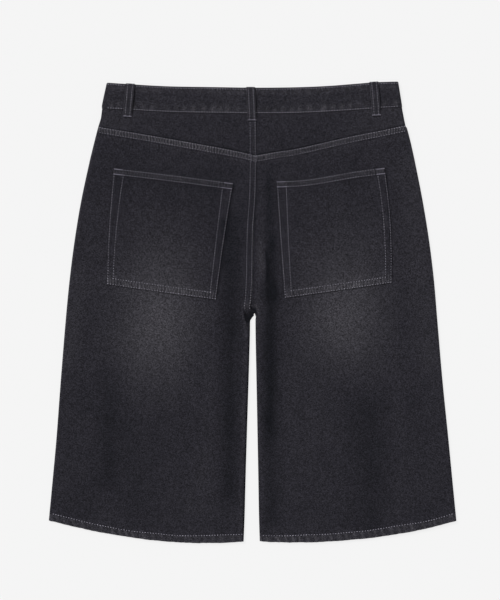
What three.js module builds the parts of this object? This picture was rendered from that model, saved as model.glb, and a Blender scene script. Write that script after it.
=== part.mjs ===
// Knee-length denim shorts, laid out flat with the front down and the back up.
// Millimetres. X runs across the shorts, Y from the hems to the waist, Z up.
// The origin is under the middle of the shorts, on the surface they lie on.
// "Left" and "right" are the wearer's, and seen from above the back they are
// at -X and +X.
import * as THREE from 'three';

// Walls and clearances
const CLOTH = 1.2;          // one layer of denim
const BAND_WALL = 2.0;      // the waistband, two layers
const LOOP_WALL = 1.6;      // a belt loop, folded in three
const SEAM_GAP = 0.3;       // between two pieces that are sewn together
const LAID_GAP = 0.4;       // under a pocket, which lies on the cloth

// Heights of the laid-out garment
const BACK_TOP = 5.3;       // outside of the back on the legs and seat
const FRONT_LIFT = 1.9;     // the front loops and button hold the front waist up
const YOKE_TOP = 7.2;       // outside of the back where it meets the waistband
const BAND_TOP = 7.8;       // outside of the waistband at the back
const FLY_RISE = 0.9;       // the fly and the lap of the waistband push the back up
const FLY_RISE_WIDTH = 55;
const FLY_RISE_START = 60;  // it grows between these two
const FLY_RISE_END = 150;
const LIFT_START = 215;     // the front leaves the surface between these two
const LIFT_END = 290;
const YOKE_RISE_START = 190;

// Turned edges, laps and hems
const SIDE_ROLL = 4;        // how far in from the side the cloth is rounded
const LAP = 7.6;            // width of a lapped seam, between edge and second row
const LAP_RISE = 0.9;       // its extra layers, and those of a hem at the back
const HEM = 10;
const FRONT_HEM_RISE = 0.8; // extra layers of a hem at the front, on its inside
const FRONT_HEM_SHORT = 1;  // the front hem lies this far inside the back one
const POCKET_HEM_RISE = 0.7;
const STEP = 1.2;           // width of the slope where extra layers begin
const EDGE_SINK = 0.4;      // how much a long cut edge is rounded off
const BAND_TOP_SINK = 0.6;  // the same at the fold along the top of the waistband

// Waist
const FRONT_DIP = 10;       // the front waist is lower than the back by this
const FRONT_DIP_REACH = 205;
const LAP_END_LEFT = 18;    // the left end of the waistband lies over the right
const LAP_END_RIGHT = -16;
const LAP_SLOPE = 34;       // the right end rises over the left one from here
const LOOP_WIDTH = 13;
const LOOP_DROP = 10.5;     // a loop ends this far below the waistband
const BUTTON_RADIUS = 8.5;
const BUTTON_X = 8;
const FLY_LENGTH = 145;
const FLY_WIDTH = 38;
const FLY_X = 4;            // middle of the strips behind the fly
const FLY_DROP = 2;         // they start this far below the waistband
const ZIP_WIDTH = 24;
const ZIP_WALL = 1;

// Side outline of waistband and yoke, then of the legs, which start
// 1.2 mm further out because the lapped yoke seam is thicker
const WAIST_SIDE = [
  { y: 339, left: -213.6, right: 213.2 },
  { y: 304, left: -221.1, right: 218.7 },
  { y: 298, left: -221, right: 219.5 },
  { y: 278, left: -223.7, right: 223.4 },
  { y: 272.5, left: -225.1, right: 224.7 },
];
const LEG_SIDE = [
  { y: 272.4, left: -226.6, right: 226 },
  { y: 253, left: -231.7, right: 231.2 },
  { y: 224, left: -238.9, right: 237.8 },
  { y: 165, left: -251.6, right: 249.5 },
  { y: 106, left: -261.4, right: 259.1 },
  { y: 48, left: -268.8, right: 266.2 },
  { y: -11, left: -274.5, right: 271.2 },
  { y: -99, left: -281.7, right: 278.7 },
  { y: -188, left: -288.4, right: 287.7 },
  { y: -246, left: -293.7, right: 293.3 },
  { y: -306, left: -299.4, right: 299.2 },
];

// Edges of the waistband at the back
const WAISTBAND = [
  { x: -217, top: 337.3, bottom: 298.6 },
  { x: -190, top: 335.5, bottom: 297.4 },
  { x: -154, top: 333.2, bottom: 295.1 },
  { x: -119, top: 331.6, bottom: 293.4 },
  { x: -48, top: 330.4, bottom: 292.1 },
  { x: 0, top: 329.6, bottom: 291.5 },
  { x: 48, top: 330, bottom: 291.7 },
  { x: 76, top: 330.7, bottom: 292.5 },
  { x: 111, top: 332.3, bottom: 294.1 },
  { x: 146, top: 335, bottom: 296.3 },
  { x: 181, top: 337.7, bottom: 298.8 },
  { x: 217, top: 338.9, bottom: 301.3 },
];

// Upper edge of the lapped seam between yoke and back panel
const YOKE_SEAM = [
  { x: -226, y: 272.5 },
  { x: -148, y: 259.4 },
  { x: -63, y: 244.3 },
  { x: -36, y: 239.2 },
  { x: -10, y: 233.8 },
  { x: 4, y: 230.6 },
  { x: 17, y: 232.5 },
  { x: 34, y: 235.6 },
  { x: 61, y: 239.6 },
  { x: 105, y: 249.4 },
  { x: 149, y: 259.3 },
  { x: 187, y: 266.8 },
  { x: 226, y: 275 },
];

// Hem of each leg, by distance from the middle
const HEM_EDGE = [
  { out: 13, left: -336.6, right: -336.1 },
  { out: 33, left: -337.9, right: -337.4 },
  { out: 68, left: -338.6, right: -337.6 },
  { out: 104, left: -338, right: -336.7 },
  { out: 140, left: -334.8, right: -334.1 },
  { out: 174, left: -331.1, right: -331.1 },
  { out: 210, left: -325, right: -325.4 },
  { out: 245, left: -318.4, right: -319.5 },
  { out: 299.3, left: -305.3, right: -306 },
];

// Seat seam, crotch and inner leg. fold is how far the edge turns down to
// meet the front, over the width roll; pit is 1 where it drops into the
// hollow at the crotch.
const SEAT_SEAM = [
  { y: 292, x: 5.2 },
  { y: 180, x: 4.9 },
  { y: 121, x: 1.2 },
  { y: 48, x: -0.2 },
  { y: 18, x: -2 },
  { y: 8, x: -3.2 },
  { y: 3, x: -1 },
  { y: -2.4, x: 4.6 },
];
const LEFT_INNER_LEG = [
  { y: -11.2, x: -4.8 },
  { y: -26, x: -4.9 },
  { y: -55, x: -5.6 },
  { y: -99, x: -6.9 },
  { y: -188, x: -9.7 },
  { y: -246, x: -11.4 },
  { y: -300, x: -12.8 },
  { y: -336, x: -14.2 },
];
const RIGHT_INNER_LEG = [
  { y: -6, x: 5.1 },
  { y: -26, x: 5.2 },
  { y: -55, x: 5.7 },
  { y: -99, x: 6.6 },
  { y: -188, x: 8.3 },
  { y: -246, x: 9.4 },
  { y: -300, x: 10.3 },
  { y: -336, x: 11.4 },
];
const LEFT_CROTCH = [
  { y: 5, fold: 0, roll: 12, pit: 1 },
  { y: 1, fold: 1, roll: 13, pit: 1 },
  { y: -3, fold: 1, roll: 18, pit: 1 },
  { y: -8, fold: 1, roll: 12, pit: 1 },
  { y: -14, fold: 1, roll: 6, pit: 0.8 },
  { y: -20, fold: 1, roll: 4.5, pit: 0.4 },
  { y: -29, fold: 1, roll: 4, pit: 0 },
];
const RIGHT_CROTCH = [
  { y: 10, fold: 0, roll: 4, pit: 1 },
  { y: 7, fold: 0.8, roll: 7, pit: 1 },
  { y: 3, fold: 1, roll: 8, pit: 1 },
  { y: -2, fold: 1, roll: 4, pit: 0.6 },
  { y: -10, fold: 1, roll: 4, pit: 0 },
];

// Where the cross rows meet the middle around the crotch
const CROTCH_ROWS = [10, 7, 5, 3, 0.5, -2.4, -6.5, -11.2, -16, -22, -29];

// Soft ridges and troughs of the back, each along a line
const FOLDS = [
  { x: -204, y: -60, toX: -196, toY: -310, width: 22, rise: -0.9 },
  { x: -128, y: -55, toX: -134, toY: -300, width: 32, rise: 0.6 },
  { x: -24, y: 60, toX: -33, toY: -330, width: 11, rise: -1 },
  { x: -262, y: -10, toX: -272, toY: -300, width: 16, rise: 0.6 },
  { x: 27, y: 100, toX: 33, toY: -330, width: 10, rise: -1.1 },
  { x: 92, y: -55, toX: 98, toY: -300, width: 32, rise: 0.6 },
  { x: 182, y: -70, toX: 186, toY: -310, width: 22, rise: -0.9 },
  { x: 254, y: -10, toX: 266, toY: -300, width: 18, rise: 0.7 },
  { x: 14, y: 92, toX: 17, toY: 22, width: 6, rise: 1.1 },
  { x: -6, y: 9, toX: -5, toY: 14, width: 8, rise: 1.2 },
];

// Corners of the back pockets, how far each edge bows to the outside, and how
// far the mouth sways down and up again
const POCKETS = {
  left: {
    topLeft: [-203.8, 212.2], topRight: [-28.2, 190.2],
    bottomLeft: [-214.1, 40.8], bottomRight: [-53.8, 18.4],
    top: 0.6, right: -1, bottom: 0.4, left: 2.3, sway: 0,
  },
  right: {
    topLeft: [34.6, 193.1], topRight: [193.9, 212.9],
    bottomLeft: [46.9, 20.7], bottomRight: [204.1, 43.1],
    top: -1.9, right: 4.5, bottom: 0.2, left: 0.4, sway: 1.5,
  },
};

// Middle line of each loop at the back, where it leaves the top edge of the
// waistband and where it is tacked down below it
const BACK_LOOPS = [
  { name: 'left', topX: -179.4, bottomX: -184, seam: 0 },
  { name: 'centre', topX: -3, bottomX: -0.8, seam: LAP_RISE },
  { name: 'right', topX: 177.9, bottomX: 181.8, seam: 0 },
];
const FRONT_LOOPS = [
  { name: 'left', topX: -104, bottomX: -106 },
  { name: 'right', topX: 104, bottomX: 106 },
];
// Long section of a back loop: how far down from the waistband's top edge its
// outside and inside lie, and their heights above the cloth under the loop
const LOOP_SECTION = [
  { outDown: -1.3, out: -1, inDown: -SEAM_GAP, in: -1 },
  { outDown: -1.3, out: 1.2, inDown: -SEAM_GAP, in: SEAM_GAP },
  { outDown: 0.2, out: SEAM_GAP + LOOP_WALL, inDown: 1.2, in: SEAM_GAP },
  { outDown: 6, out: SEAM_GAP + LOOP_WALL, inDown: 6, in: SEAM_GAP },
  { outDown: 12, out: 2.9, inDown: 12, in: 1.3 },
  { outDown: 22, out: 3.4, inDown: 22, in: 1.8 },
  { outDown: 32, out: 3.1, inDown: 32, in: 1.5 },
  { outDown: 37.5, out: 2.3, inDown: 37.5, in: 0.7 },
];

// Number of faces along the long pieces
const FACES = {
  backAcross: 12, frontAcross: 8, seat: 9, leg: 12, yoke: 4,
  frontWaist: 6, frontSeat: 3, frontLeg: 5,
  bandHalfFront: 8, bandTurn: 6, bandBack: 26,
  pocketAcross: 11, pocketDown: 9, flyDown: 8, button: 20,
};
const SIDE_CROWDING = 1.35; // above 1, the columns of a panel crowd at its side
const SETTLING = 6;         // rounds in which a point's X and Y settle together

// Cut of the cross sections
const TURN = [0, 0.34, 0.67, 1].map((part) => part * Math.PI / 2);
const LAP_STEPS = [0, 0.9, LAP, LAP + STEP];
const LAP_RELIEF = [0.5, 1, 1, 0];
const HEM_STEPS = [HEM + STEP, HEM, 0.8, 0];
const HEM_RELIEF = [0, 1, 1, 0.4];

const mix = THREE.MathUtils.lerp;
const smooth = THREE.MathUtils.smoothstep;

// Value of a table's column at a place along its first named column, on a
// smooth curve through the rows
function along(rows, place, column, at) {
  const ordered = rows[0][place] < rows[rows.length - 1][place] ? rows : [...rows].reverse();
  const last = ordered.length - 1;
  const clamped = THREE.MathUtils.clamp(at, ordered[0][place], ordered[last][place]);
  const next = ordered.findIndex((row, i) => i > 0 && clamped <= row[place]);
  const [a, b] = [ordered[next - 1], ordered[next]];
  const slope = (i) => {
    const [before, after] = [ordered[Math.max(i - 1, 0)], ordered[Math.min(i + 1, last)]];
    return (after[column] - before[column]) / (after[place] - before[place]);
  };
  const span = b[place] - a[place];
  const t = (clamped - a[place]) / span;
  const [t2, t3] = [t * t, t * t * t];
  return (2 * t3 - 3 * t2 + 1) * a[column] + (3 * t2 - 2 * t3) * b[column]
    + span * ((t3 - 2 * t2 + t) * slope(next - 1) + (t3 - t2) * slope(next));
}

// Straight from row to row
function stepped(rows, place, column, at) {
  const after = rows.findIndex((row) => row[place] <= at);
  if (after === 0) return rows[0][column];
  if (after < 0) return rows[rows.length - 1][column];
  const [a, b] = [rows[after - 1], rows[after]];
  return mix(a[column], b[column], (at - a[place]) / (b[place] - a[place]));
}

const count = (length) => Array.from({ length }, (_, i) => i);
const spread = (from, to, parts) => count(parts + 1).map((i) => mix(from, to, i / parts));

const sideX = (side, y) => along(y > LEG_SIDE[0].y ? WAIST_SIDE : LEG_SIDE, 'y', side, y);
const yokeY = (x) => along(YOKE_SEAM, 'x', 'y', x);
const hemY = (x) => along(HEM_EDGE, 'out', x < 0 ? 'left' : 'right', Math.abs(x));
const bandY = (x, edge) => along(WAISTBAND, 'x', edge, x);
const frontDip = (x) => FRONT_DIP * (1 - smooth(Math.abs(x), 0, FRONT_DIP_REACH));

function innerX(side, y) {
  const end = SEAT_SEAM[SEAT_SEAM.length - 1];
  const [leg, gap] = side === 'left' ? [LEFT_INNER_LEG, 0] : [RIGHT_INNER_LEG, SEAM_GAP];
  if (y >= end.y) return along(SEAT_SEAM, 'y', 'x', y) + gap;
  return y >= leg[0].y
    ? stepped([{ y: end.y, x: end.x + gap }, leg[0]], 'y', 'x', y)
    : along(leg, 'y', 'x', y);
}

const crotch = (side, y, column) => stepped(side === 'left' ? LEFT_CROTCH : RIGHT_CROTCH, 'y', column, y);

// Outside of the front, which lies on the surface, and of the back above it
const frontZ = (y) => FRONT_LIFT * smooth(y, LIFT_START, LIFT_END);

function flyRise(x, y) {
  return FLY_RISE * Math.exp(-((x / FLY_RISE_WIDTH) ** 2)) * smooth(y, FLY_RISE_START, FLY_RISE_END);
}

function backZ(x, y) {
  const base = mix(BACK_TOP, YOKE_TOP, smooth(y, YOKE_RISE_START, LIFT_END)) + flyRise(x, y);
  return FOLDS.reduce((height, fold) => {
    const line = new THREE.Vector2(fold.toX - fold.x, fold.toY - fold.y);
    const from = new THREE.Vector2(x - fold.x, y - fold.y);
    const part = THREE.MathUtils.clamp(from.dot(line) / line.lengthSq(), 0, 1);
    const away = from.sub(line.multiplyScalar(part)).length();
    return height + fold.rise * Math.exp(-((away / fold.width) ** 2));
  }, base);
}

const bandZ = (x) => BAND_TOP + flyRise(x, LIFT_END);

// A closed wall of cloth between two grids of points of the same size
function wall(name, color, outer, inner, finish = {}) {
  const rows = outer.length;
  const columns = outer[0].length;
  const layer = rows * columns;
  const at = (i, j) => i * columns + j;
  const position = [...outer.flat(), ...inner.flat()].flat();
  const index = [];
  const quad = (a, b, c, d) => index.push(a, b, c, a, c, d);
  for (let i = 0; i < rows - 1; i++) {
    for (let j = 0; j < columns - 1; j++) {
      quad(at(i, j), at(i + 1, j), at(i + 1, j + 1), at(i, j + 1));
      quad(layer + at(i, j), layer + at(i, j + 1), layer + at(i + 1, j + 1), layer + at(i + 1, j));
    }
  }
  const rim = [
    ...count(rows - 1).map((i) => at(i, 0)),
    ...count(columns - 1).map((j) => at(rows - 1, j)),
    ...count(rows - 1).map((i) => at(rows - 1 - i, columns - 1)),
    ...count(columns - 1).map((j) => at(0, columns - 1 - j)),
  ];
  rim.forEach((a, i) => {
    const b = rim[(i + 1) % rim.length];
    quad(a, layer + a, layer + b, b);
  });
  return solid(name, color, position, index, finish);
}

// A named mesh, with its faces turned out
function solid(name, color, position, index, finish) {
  const corner = (i) => new THREE.Vector3().fromArray(position, 3 * index[i]);
  let volume = 0;
  for (let i = 0; i < index.length; i += 3) {
    volume += corner(i).dot(corner(i + 1).cross(corner(i + 2)));
  }
  const geometry = new THREE.BufferGeometry();
  geometry.setAttribute('position', new THREE.Float32BufferAttribute(position, 3));
  geometry.setIndex(volume > 0 ? index : [...index].reverse());
  geometry.computeVertexNormals();
  const material = new THREE.MeshStandardMaterial({ color, roughness: 0.92, metalness: 0, ...finish });
  const mesh = new THREE.Mesh(geometry, material);
  mesh.name = name;
  return mesh;
}

// One panel of the back or front: rows run from its top to its bottom edge,
// columns from the side, round its turned edge, across, and to the seam or
// inner leg. inset is 0 for its outside and the wall for its inside.
function panelGrid(cut, inset) {
  const { side, rows, top, bottom, middle, height, join, floor = 0, relief, lapped = false } = cut;
  const inward = side === 'left' ? 1 : -1;
  const columns = [
    ...TURN.map((turn) => ({ turn })),
    ...spread(0, 1, cut.across).slice(1, -1).map((part) => ({ part: 1 - (1 - part) ** SIDE_CROWDING })),
    ...TURN.map((turn, i) => ({ turn, step: LAP_STEPS[i], lap: LAP_RELIEF[i], seam: true })).reverse(),
  ];
  return rows.map((row) => columns.map((column, j) => {
    const part = j / (columns.length - 1);
    const down = mix(row.side, row.middle, part);
    let x = mix(sideX(side, top(0)), 0, part);
    let y = 0;
    let z = 0;
    let raised = row.raised;
    for (let pass = 0; pass < SETTLING; pass++) {
      y = mix(top(x), bottom(x), down);
      const { fold, roll, pit } = middle(y);
      const surface = height(x, y, inset);
      const edge = join(x, y);
      const rounded = Math.sin(column.turn);
      const from = 1 - Math.cos(column.turn);
      if (column.seam) {
        const wallIn = inset * fold * (1 - pit);
        x = innerX(side, y) - inward * mix(column.step, wallIn + (roll - wallIn) * from, fold);
        const turned = mix(edge, surface, rounded);
        const sunk = mix(floor - inset, surface, from ** 3);
        z = mix(surface, mix(turned, sunk, pit), fold);
        raised = Math.max(row.raised * mix(1, rounded, fold), lapped ? column.lap * (1 - fold) : 0);
      } else if (column.part === undefined) {
        x = sideX(side, y) + inward * (inset + (SIDE_ROLL - inset) * from);
        z = mix(edge, surface, rounded);
        raised = row.raised * rounded;
      } else {
        const outerEnd = sideX(side, y) + inward * SIDE_ROLL;
        const innerEnd = innerX(side, y) - inward * mix(LAP + STEP, roll, fold);
        x = mix(outerEnd, innerEnd, column.part);
        z = surface;
      }
    }
    return [x, y, z + (relief(inset) * raised)];
  }));
}

function panel(name, color, cut) {
  return wall(name, color, panelGrid(cut, 0), panelGrid(cut, CLOTH));
}

// Half-way up the turned side, where back and front are sewn together
const sideJoin = (side, y) => (frontZ(y) + backZ(sideX(side, y), y)) / 2;

// Rows of a back panel: the lapped seam, the seat, the crotch, the leg, the hem
function backRows() {
  const length = yokeY(0) - hemY(0);
  const crotchDown = CROTCH_ROWS.map((y) => yokeY(0) - y);
  const lapEnd = LAP + STEP;
  const hemStart = length - HEM - STEP;
  const middle = [
    ...LAP_STEPS,
    ...spread(lapEnd, crotchDown[0], FACES.seat).slice(1),
    ...crotchDown.slice(1),
    ...spread(crotchDown[crotchDown.length - 1], hemStart, FACES.leg).slice(1),
    ...HEM_STEPS.slice(1).map((step) => length - step),
  ];
  const between = middle.length - LAP_STEPS.length - HEM_STEPS.length + 1;
  const sideRows = [
    ...LAP_STEPS,
    ...spread(lapEnd, hemStart, between).slice(1),
    ...HEM_STEPS.slice(1).map((step) => length - step),
  ];
  return middle.map((down, i) => ({
    middle: down / length,
    side: sideRows[i] / length,
    raised: LAP_RELIEF[i] ?? (HEM_RELIEF[i - middle.length + HEM_RELIEF.length] ?? 0),
  }));
}

function backPanel(side) {
  return panel(`back_panel_${side}`, 0x2b2a31, {
    side,
    rows: backRows(),
    across: FACES.backAcross,
    top: yokeY,
    bottom: hemY,
    middle: (y) => ({
      fold: crotch(side, y, 'fold'),
      roll: crotch(side, y, 'roll'),
      pit: crotch(side, y, 'pit'),
    }),
    height: (x, y, inset) => backZ(x, y) - inset,
    join: (x, y) => sideJoin(side, y) + SEAM_GAP / 2,
    floor: 2 * CLOTH + SEAM_GAP,
    relief: (inset) => (inset === 0 ? LAP_RISE : 0),
    lapped: side === 'left',
  });
}

function yoke(side) {
  const plain = { fold: 0, roll: SIDE_ROLL, pit: 0 };
  return panel(`yoke_${side}`, 0x2f2e35, {
    side,
    rows: spread(0, 1, FACES.yoke).map((down) => ({ middle: down, side: down, raised: 0 })),
    across: FACES.backAcross,
    top: (x) => bandY(x, 'bottom') - SEAM_GAP,
    bottom: (x) => yokeY(x) + SEAM_GAP,
    middle: () => plain,
    height: (x, y, inset) => backZ(x, y) - inset,
    join: (x, y) => sideJoin(side, y) + SEAM_GAP / 2,
    relief: (inset) => (inset === 0 ? LAP_RISE : 0),
    lapped: side === 'left',
  });
}

function frontPanel(side) {
  const waist = bandY(0, 'bottom') - FRONT_DIP;
  const length = waist - hemY(0);
  const lifted = (waist - LIFT_START) / length;
  const crotchDown = CROTCH_ROWS.slice(3).map((y) => (waist - y) / length);
  const down = [
    ...spread(0, lifted, FACES.frontWaist),
    ...spread(lifted, crotchDown[0], FACES.frontSeat).slice(1),
    ...crotchDown.slice(1),
    ...spread(crotchDown[crotchDown.length - 1], 1, FACES.frontLeg).slice(1, -1),
    ...HEM_STEPS.map((step) => 1 - step / length),
  ];
  return panel(`front_panel_${side}`, 0x29282f, {
    side,
    rows: down.map((part, i) => ({
      middle: part,
      side: part,
      raised: HEM_RELIEF[i - down.length + HEM_RELIEF.length] ?? 0,
    })),
    across: FACES.frontAcross,
    top: (x) => bandY(x, 'bottom') - frontDip(x) - SEAM_GAP,
    bottom: (x) => hemY(x) + FRONT_HEM_SHORT,
    middle: (y) => ({ fold: 1 - crotch(side, y, 'pit'), roll: SIDE_ROLL, pit: 0 }),
    height: (x, y, inset) => frontZ(y) + inset,
    join: (x, y) => sideJoin(side, y) - SEAM_GAP / 2,
    relief: (inset) => (inset === 0 ? 0 : FRONT_HEM_RISE),
  });
}

// The waistband is one strip: from its left end at the fly, round the left
// side, across the back and round the right side to its right end, which lies
// under the left one
function waistbandGrid(inset) {
  const wallUp = BAND_WALL + SEAM_GAP;
  const frontRun = spread(LAP_SLOPE / WAIST_SIDE[0].right, 1, FACES.bandHalfFront);
  const turns = spread(-1, 1, FACES.bandTurn).slice(1, -1);
  const stations = [
    { front: LAP_END_LEFT }, { front: LAP_END_RIGHT + BAND_WALL * 3 },
    ...frontRun.map((part) => ({ side: 'left', part })),
    ...turns.map((turn) => ({ side: 'left', turn })),
    ...spread(-1, 1, FACES.bandBack).map((part) => ({ back: part })),
    ...[...turns].reverse().map((turn) => ({ side: 'right', turn })),
    ...[...frontRun].reverse().map((part) => ({ side: 'right', part })),
    { front: LAP_END_LEFT + BAND_WALL, up: wallUp }, { front: LAP_END_RIGHT, up: wallUp },
  ];
  const levels = [
    { down: 0, sunk: BAND_TOP_SINK }, { down: 0.03, sunk: 0 },
    { down: 0.97, sunk: 0 }, { down: 1, sunk: EDGE_SINK },
  ];
  return levels.map(({ down, sunk }) => stations.map((station) => {
    const level = mix(WAISTBAND[0].top, WAISTBAND[0].bottom, down);
    const end = (side) => sideX(side, level) - Math.sign(sideX(side, level)) * SIDE_ROLL;
    const edgeSink = inset === 0 ? sunk : 0;
    let x = station.front;
    if (station.back !== undefined) x = mix(end('left'), end('right'), (station.back + 1) / 2);
    if (station.part !== undefined) x = end(station.side) * station.part;
    if (station.turn !== undefined) {
      const bulge = (SIDE_ROLL - inset - edgeSink) * Math.cos(station.turn * Math.PI / 2);
      x = end(station.side) + Math.sign(end(station.side)) * bulge;
    }
    const onBack = station.back !== undefined || station.turn !== undefined;
    const dip = onBack ? 0 : frontDip(x);
    const y = mix(bandY(x, 'top'), bandY(x, 'bottom'), down) - dip;
    const low = FRONT_LIFT + inset + edgeSink + (station.up ?? 0);
    const high = bandZ(x) - inset - edgeSink;
    let z = low;
    if (station.back !== undefined) z = high;
    if (station.turn !== undefined) z = mix(low, high, (1 + Math.sin(station.turn * Math.PI / 2)) / 2);
    return [x, y, z];
  }));
}

// A point between four edges, each bowed to the outside by its own amount
function pocketPoint(pocket, across, down) {
  const bowed = (a, b, bow, t) => {
    const length = Math.hypot(b[0] - a[0], b[1] - a[1]);
    const out = 4 * t * (1 - t) * bow / length;
    return [mix(a[0], b[0], t) - (b[1] - a[1]) * out, mix(a[1], b[1], t) + (b[0] - a[0]) * out];
  };
  const top = bowed(pocket.topLeft, pocket.topRight, pocket.top, across);
  top[1] -= pocket.sway * Math.sin(2 * Math.PI * across);
  const bottom = bowed(pocket.bottomLeft, pocket.bottomRight, -pocket.bottom, across);
  const left = bowed(pocket.bottomLeft, pocket.topLeft, pocket.left, 1 - down);
  const right = bowed(pocket.bottomRight, pocket.topRight, -pocket.right, 1 - down);
  return [0, 1].map((k) => mix(top[k], bottom[k], down) + mix(left[k], right[k], across)
    - mix(
      mix(pocket.topLeft[k], pocket.topRight[k], across),
      mix(pocket.bottomLeft[k], pocket.bottomRight[k], across),
      down,
    ));
}

function pocket(side) {
  const shape = POCKETS[side];
  const height = shape.topLeft[1] - shape.bottomLeft[1];
  const downs = [
    { down: 0, raised: 0.4 }, { down: 0.8 / height, raised: 1 },
    { down: HEM / height, raised: 1 }, { down: (HEM + STEP) / height, raised: 0 },
    ...spread((HEM + STEP) / height, 1, FACES.pocketDown).slice(1).map((down) => ({ down, raised: 0 })),
  ];
  const acrosses = spread(0, 1, FACES.pocketAcross);
  const grid = (up, rise) => downs.map(({ down, raised }) => acrosses.map((across) => {
    const [x, y] = pocketPoint(shape, across, down);
    return [x, y, backZ(x, y) + LAID_GAP + up + rise * raised];
  }));
  return wall(`back_pocket_${side}`, 0x33323a, grid(CLOTH, POCKET_HEM_RISE), grid(0, 0));
}

// Across a loop, with its long edges a little lower
const LOOP_ACROSS = [
  { off: -LOOP_WIDTH / 2, sunk: EDGE_SINK }, { off: -LOOP_WIDTH / 2 + 1, sunk: 0 },
  { off: LOOP_WIDTH / 2 - 1, sunk: 0 }, { off: LOOP_WIDTH / 2, sunk: EDGE_SINK },
];

function backLoop({ name, topX, bottomX, seam }) {
  const top = bandY(topX, 'top');
  const bandEnd = top - bandY(bottomX, 'bottom');
  const length = bandEnd + LOOP_DROP;
  const section = [
    ...LOOP_SECTION,
    { outDown: bandEnd + 2, out: 1.8, inDown: bandEnd + 1, in: 0.4 },
    { outDown: length, out: 1.5, inDown: length, in: SEAM_GAP },
  ];
  const grid = (down, up, sink) => section.map((row) => LOOP_ACROSS.map(({ off, sunk }) => {
    const x = mix(topX, bottomX, row[down] / length) + off;
    const y = bandY(topX + off, 'top') - row[down];
    const under = Math.max(
      row[down] <= bandEnd + 1 ? bandZ(x) : 0,
      backZ(x, bandY(x, 'bottom')) + seam,
    );
    return [x, y, under + row[up] - sink * sunk];
  }));
  return wall(`belt_loop_back_${name}`, 0x33323a, grid('outDown', 'out', 1), grid('inDown', 'in', 0));
}

function frontLoop({ name, topX, bottomX }) {
  const top = bandY(topX, 'top') - frontDip(topX);
  const length = top - (bandY(bottomX, 'bottom') - frontDip(bottomX)) + LOOP_DROP;
  const section = [
    { outDown: -1.3, out: FRONT_LIFT + 1, inDown: -SEAM_GAP, in: FRONT_LIFT + 1 },
    { outDown: -1.3, out: 0.6, inDown: -SEAM_GAP, in: LOOP_WALL },
    { outDown: 0, out: 0, inDown: 1, in: LOOP_WALL },
    { outDown: length, out: 0, inDown: length, in: LOOP_WALL },
  ];
  const grid = (down, up) => section.map((row) => LOOP_ACROSS.map(({ off }) => {
    const y = bandY(topX + off, 'top') - frontDip(topX + off) - row[down];
    return [mix(topX, bottomX, row[down] / length) + off, y, row[up]];
  }));
  return wall(`belt_loop_front_${name}`, 0x33323a, grid('outDown', 'out'), grid('inDown', 'in'));
}

// Strips behind the fly, each laid on the one before
function flyStrip(name, color, width, under, thickness, finish) {
  const top = bandY(0, 'bottom') - FRONT_DIP - FLY_DROP;
  const across = spread(FLY_X - width / 2, FLY_X + width / 2, 2);
  const grid = (up) => spread(top, top - FLY_LENGTH, FACES.flyDown).map((y) => across.map((x) => (
    [x, y, frontZ(y) + CLOTH + under + up])));
  return wall(name, color, grid(thickness), grid(0), finish);
}

function waistButton() {
  const profile = [
    [0, 0.5], [5.6, 0.35], [6.3, 0], [7.9, 0], [BUTTON_RADIUS, 0.5],
    [BUTTON_RADIUS, 1], [7.6, 1.35], [3.2, 1.6], [0, 1.6],
  ].map(([radius, up]) => new THREE.Vector2(radius, up));
  const material = new THREE.MeshStandardMaterial({ color: 0x55514c, roughness: 0.45, metalness: 0.9 });
  const button = new THREE.Mesh(new THREE.LatheGeometry(profile, FACES.button), material);
  button.name = 'waist_button';
  button.rotation.x = Math.PI / 2;
  const y = (bandY(0, 'top') + bandY(0, 'bottom')) / 2 - FRONT_DIP;
  button.position.set(BUTTON_X, y, 0);
  return button;
}

const shorts = new THREE.Group();
shorts.add(
  wall('waistband', 0x35343b, waistbandGrid(0), waistbandGrid(BAND_WALL)),
  yoke('left'),
  yoke('right'),
  backPanel('left'),
  backPanel('right'),
  pocket('left'),
  pocket('right'),
  frontPanel('left'),
  frontPanel('right'),
  flyStrip('fly_zip', 0x4a4642, ZIP_WIDTH, SEAM_GAP, ZIP_WALL, { roughness: 0.6 }),
  flyStrip('fly_shield', 0x2b2a31, FLY_WIDTH, 2 * SEAM_GAP + ZIP_WALL, CLOTH),
  ...BACK_LOOPS.map(backLoop),
  ...FRONT_LOOPS.map(frontLoop),
  waistButton(),
);

export default shorts;
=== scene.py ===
"""Washed denim shorts laid out flat, back up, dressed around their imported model.

Sizes are in millimetres in the garment's own frame, X across, Y from hem to
waist, Z up. Meshes are written in metres. Left and right are the wearer's, and
seen from above the back they are at -X and +X.
"""

import logging
import math
from dataclasses import dataclass, field
from enum import Enum

import bpy
import numpy as np
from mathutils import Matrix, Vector
from mathutils.bvhtree import BVHTree


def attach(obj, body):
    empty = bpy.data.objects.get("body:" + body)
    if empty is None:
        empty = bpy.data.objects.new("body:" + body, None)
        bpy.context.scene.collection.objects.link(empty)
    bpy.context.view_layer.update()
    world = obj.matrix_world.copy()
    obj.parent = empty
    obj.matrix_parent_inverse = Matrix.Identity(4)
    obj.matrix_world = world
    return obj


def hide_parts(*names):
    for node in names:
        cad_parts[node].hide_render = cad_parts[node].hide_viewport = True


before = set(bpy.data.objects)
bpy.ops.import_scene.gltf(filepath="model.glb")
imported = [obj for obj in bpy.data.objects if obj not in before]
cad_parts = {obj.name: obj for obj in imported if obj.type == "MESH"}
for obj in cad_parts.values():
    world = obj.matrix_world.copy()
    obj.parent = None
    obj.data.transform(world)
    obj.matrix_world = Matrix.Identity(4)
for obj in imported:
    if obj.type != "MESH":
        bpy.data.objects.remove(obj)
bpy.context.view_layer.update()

MM = 0.001
LOG = logging.getLogger("shorts")
Array = np.ndarray


def mix(a: Array | float, b: Array | float, part: Array | float) -> Array | float:
    """Value that lies part of the way from a to b."""
    return a + (b - a) * part


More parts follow.
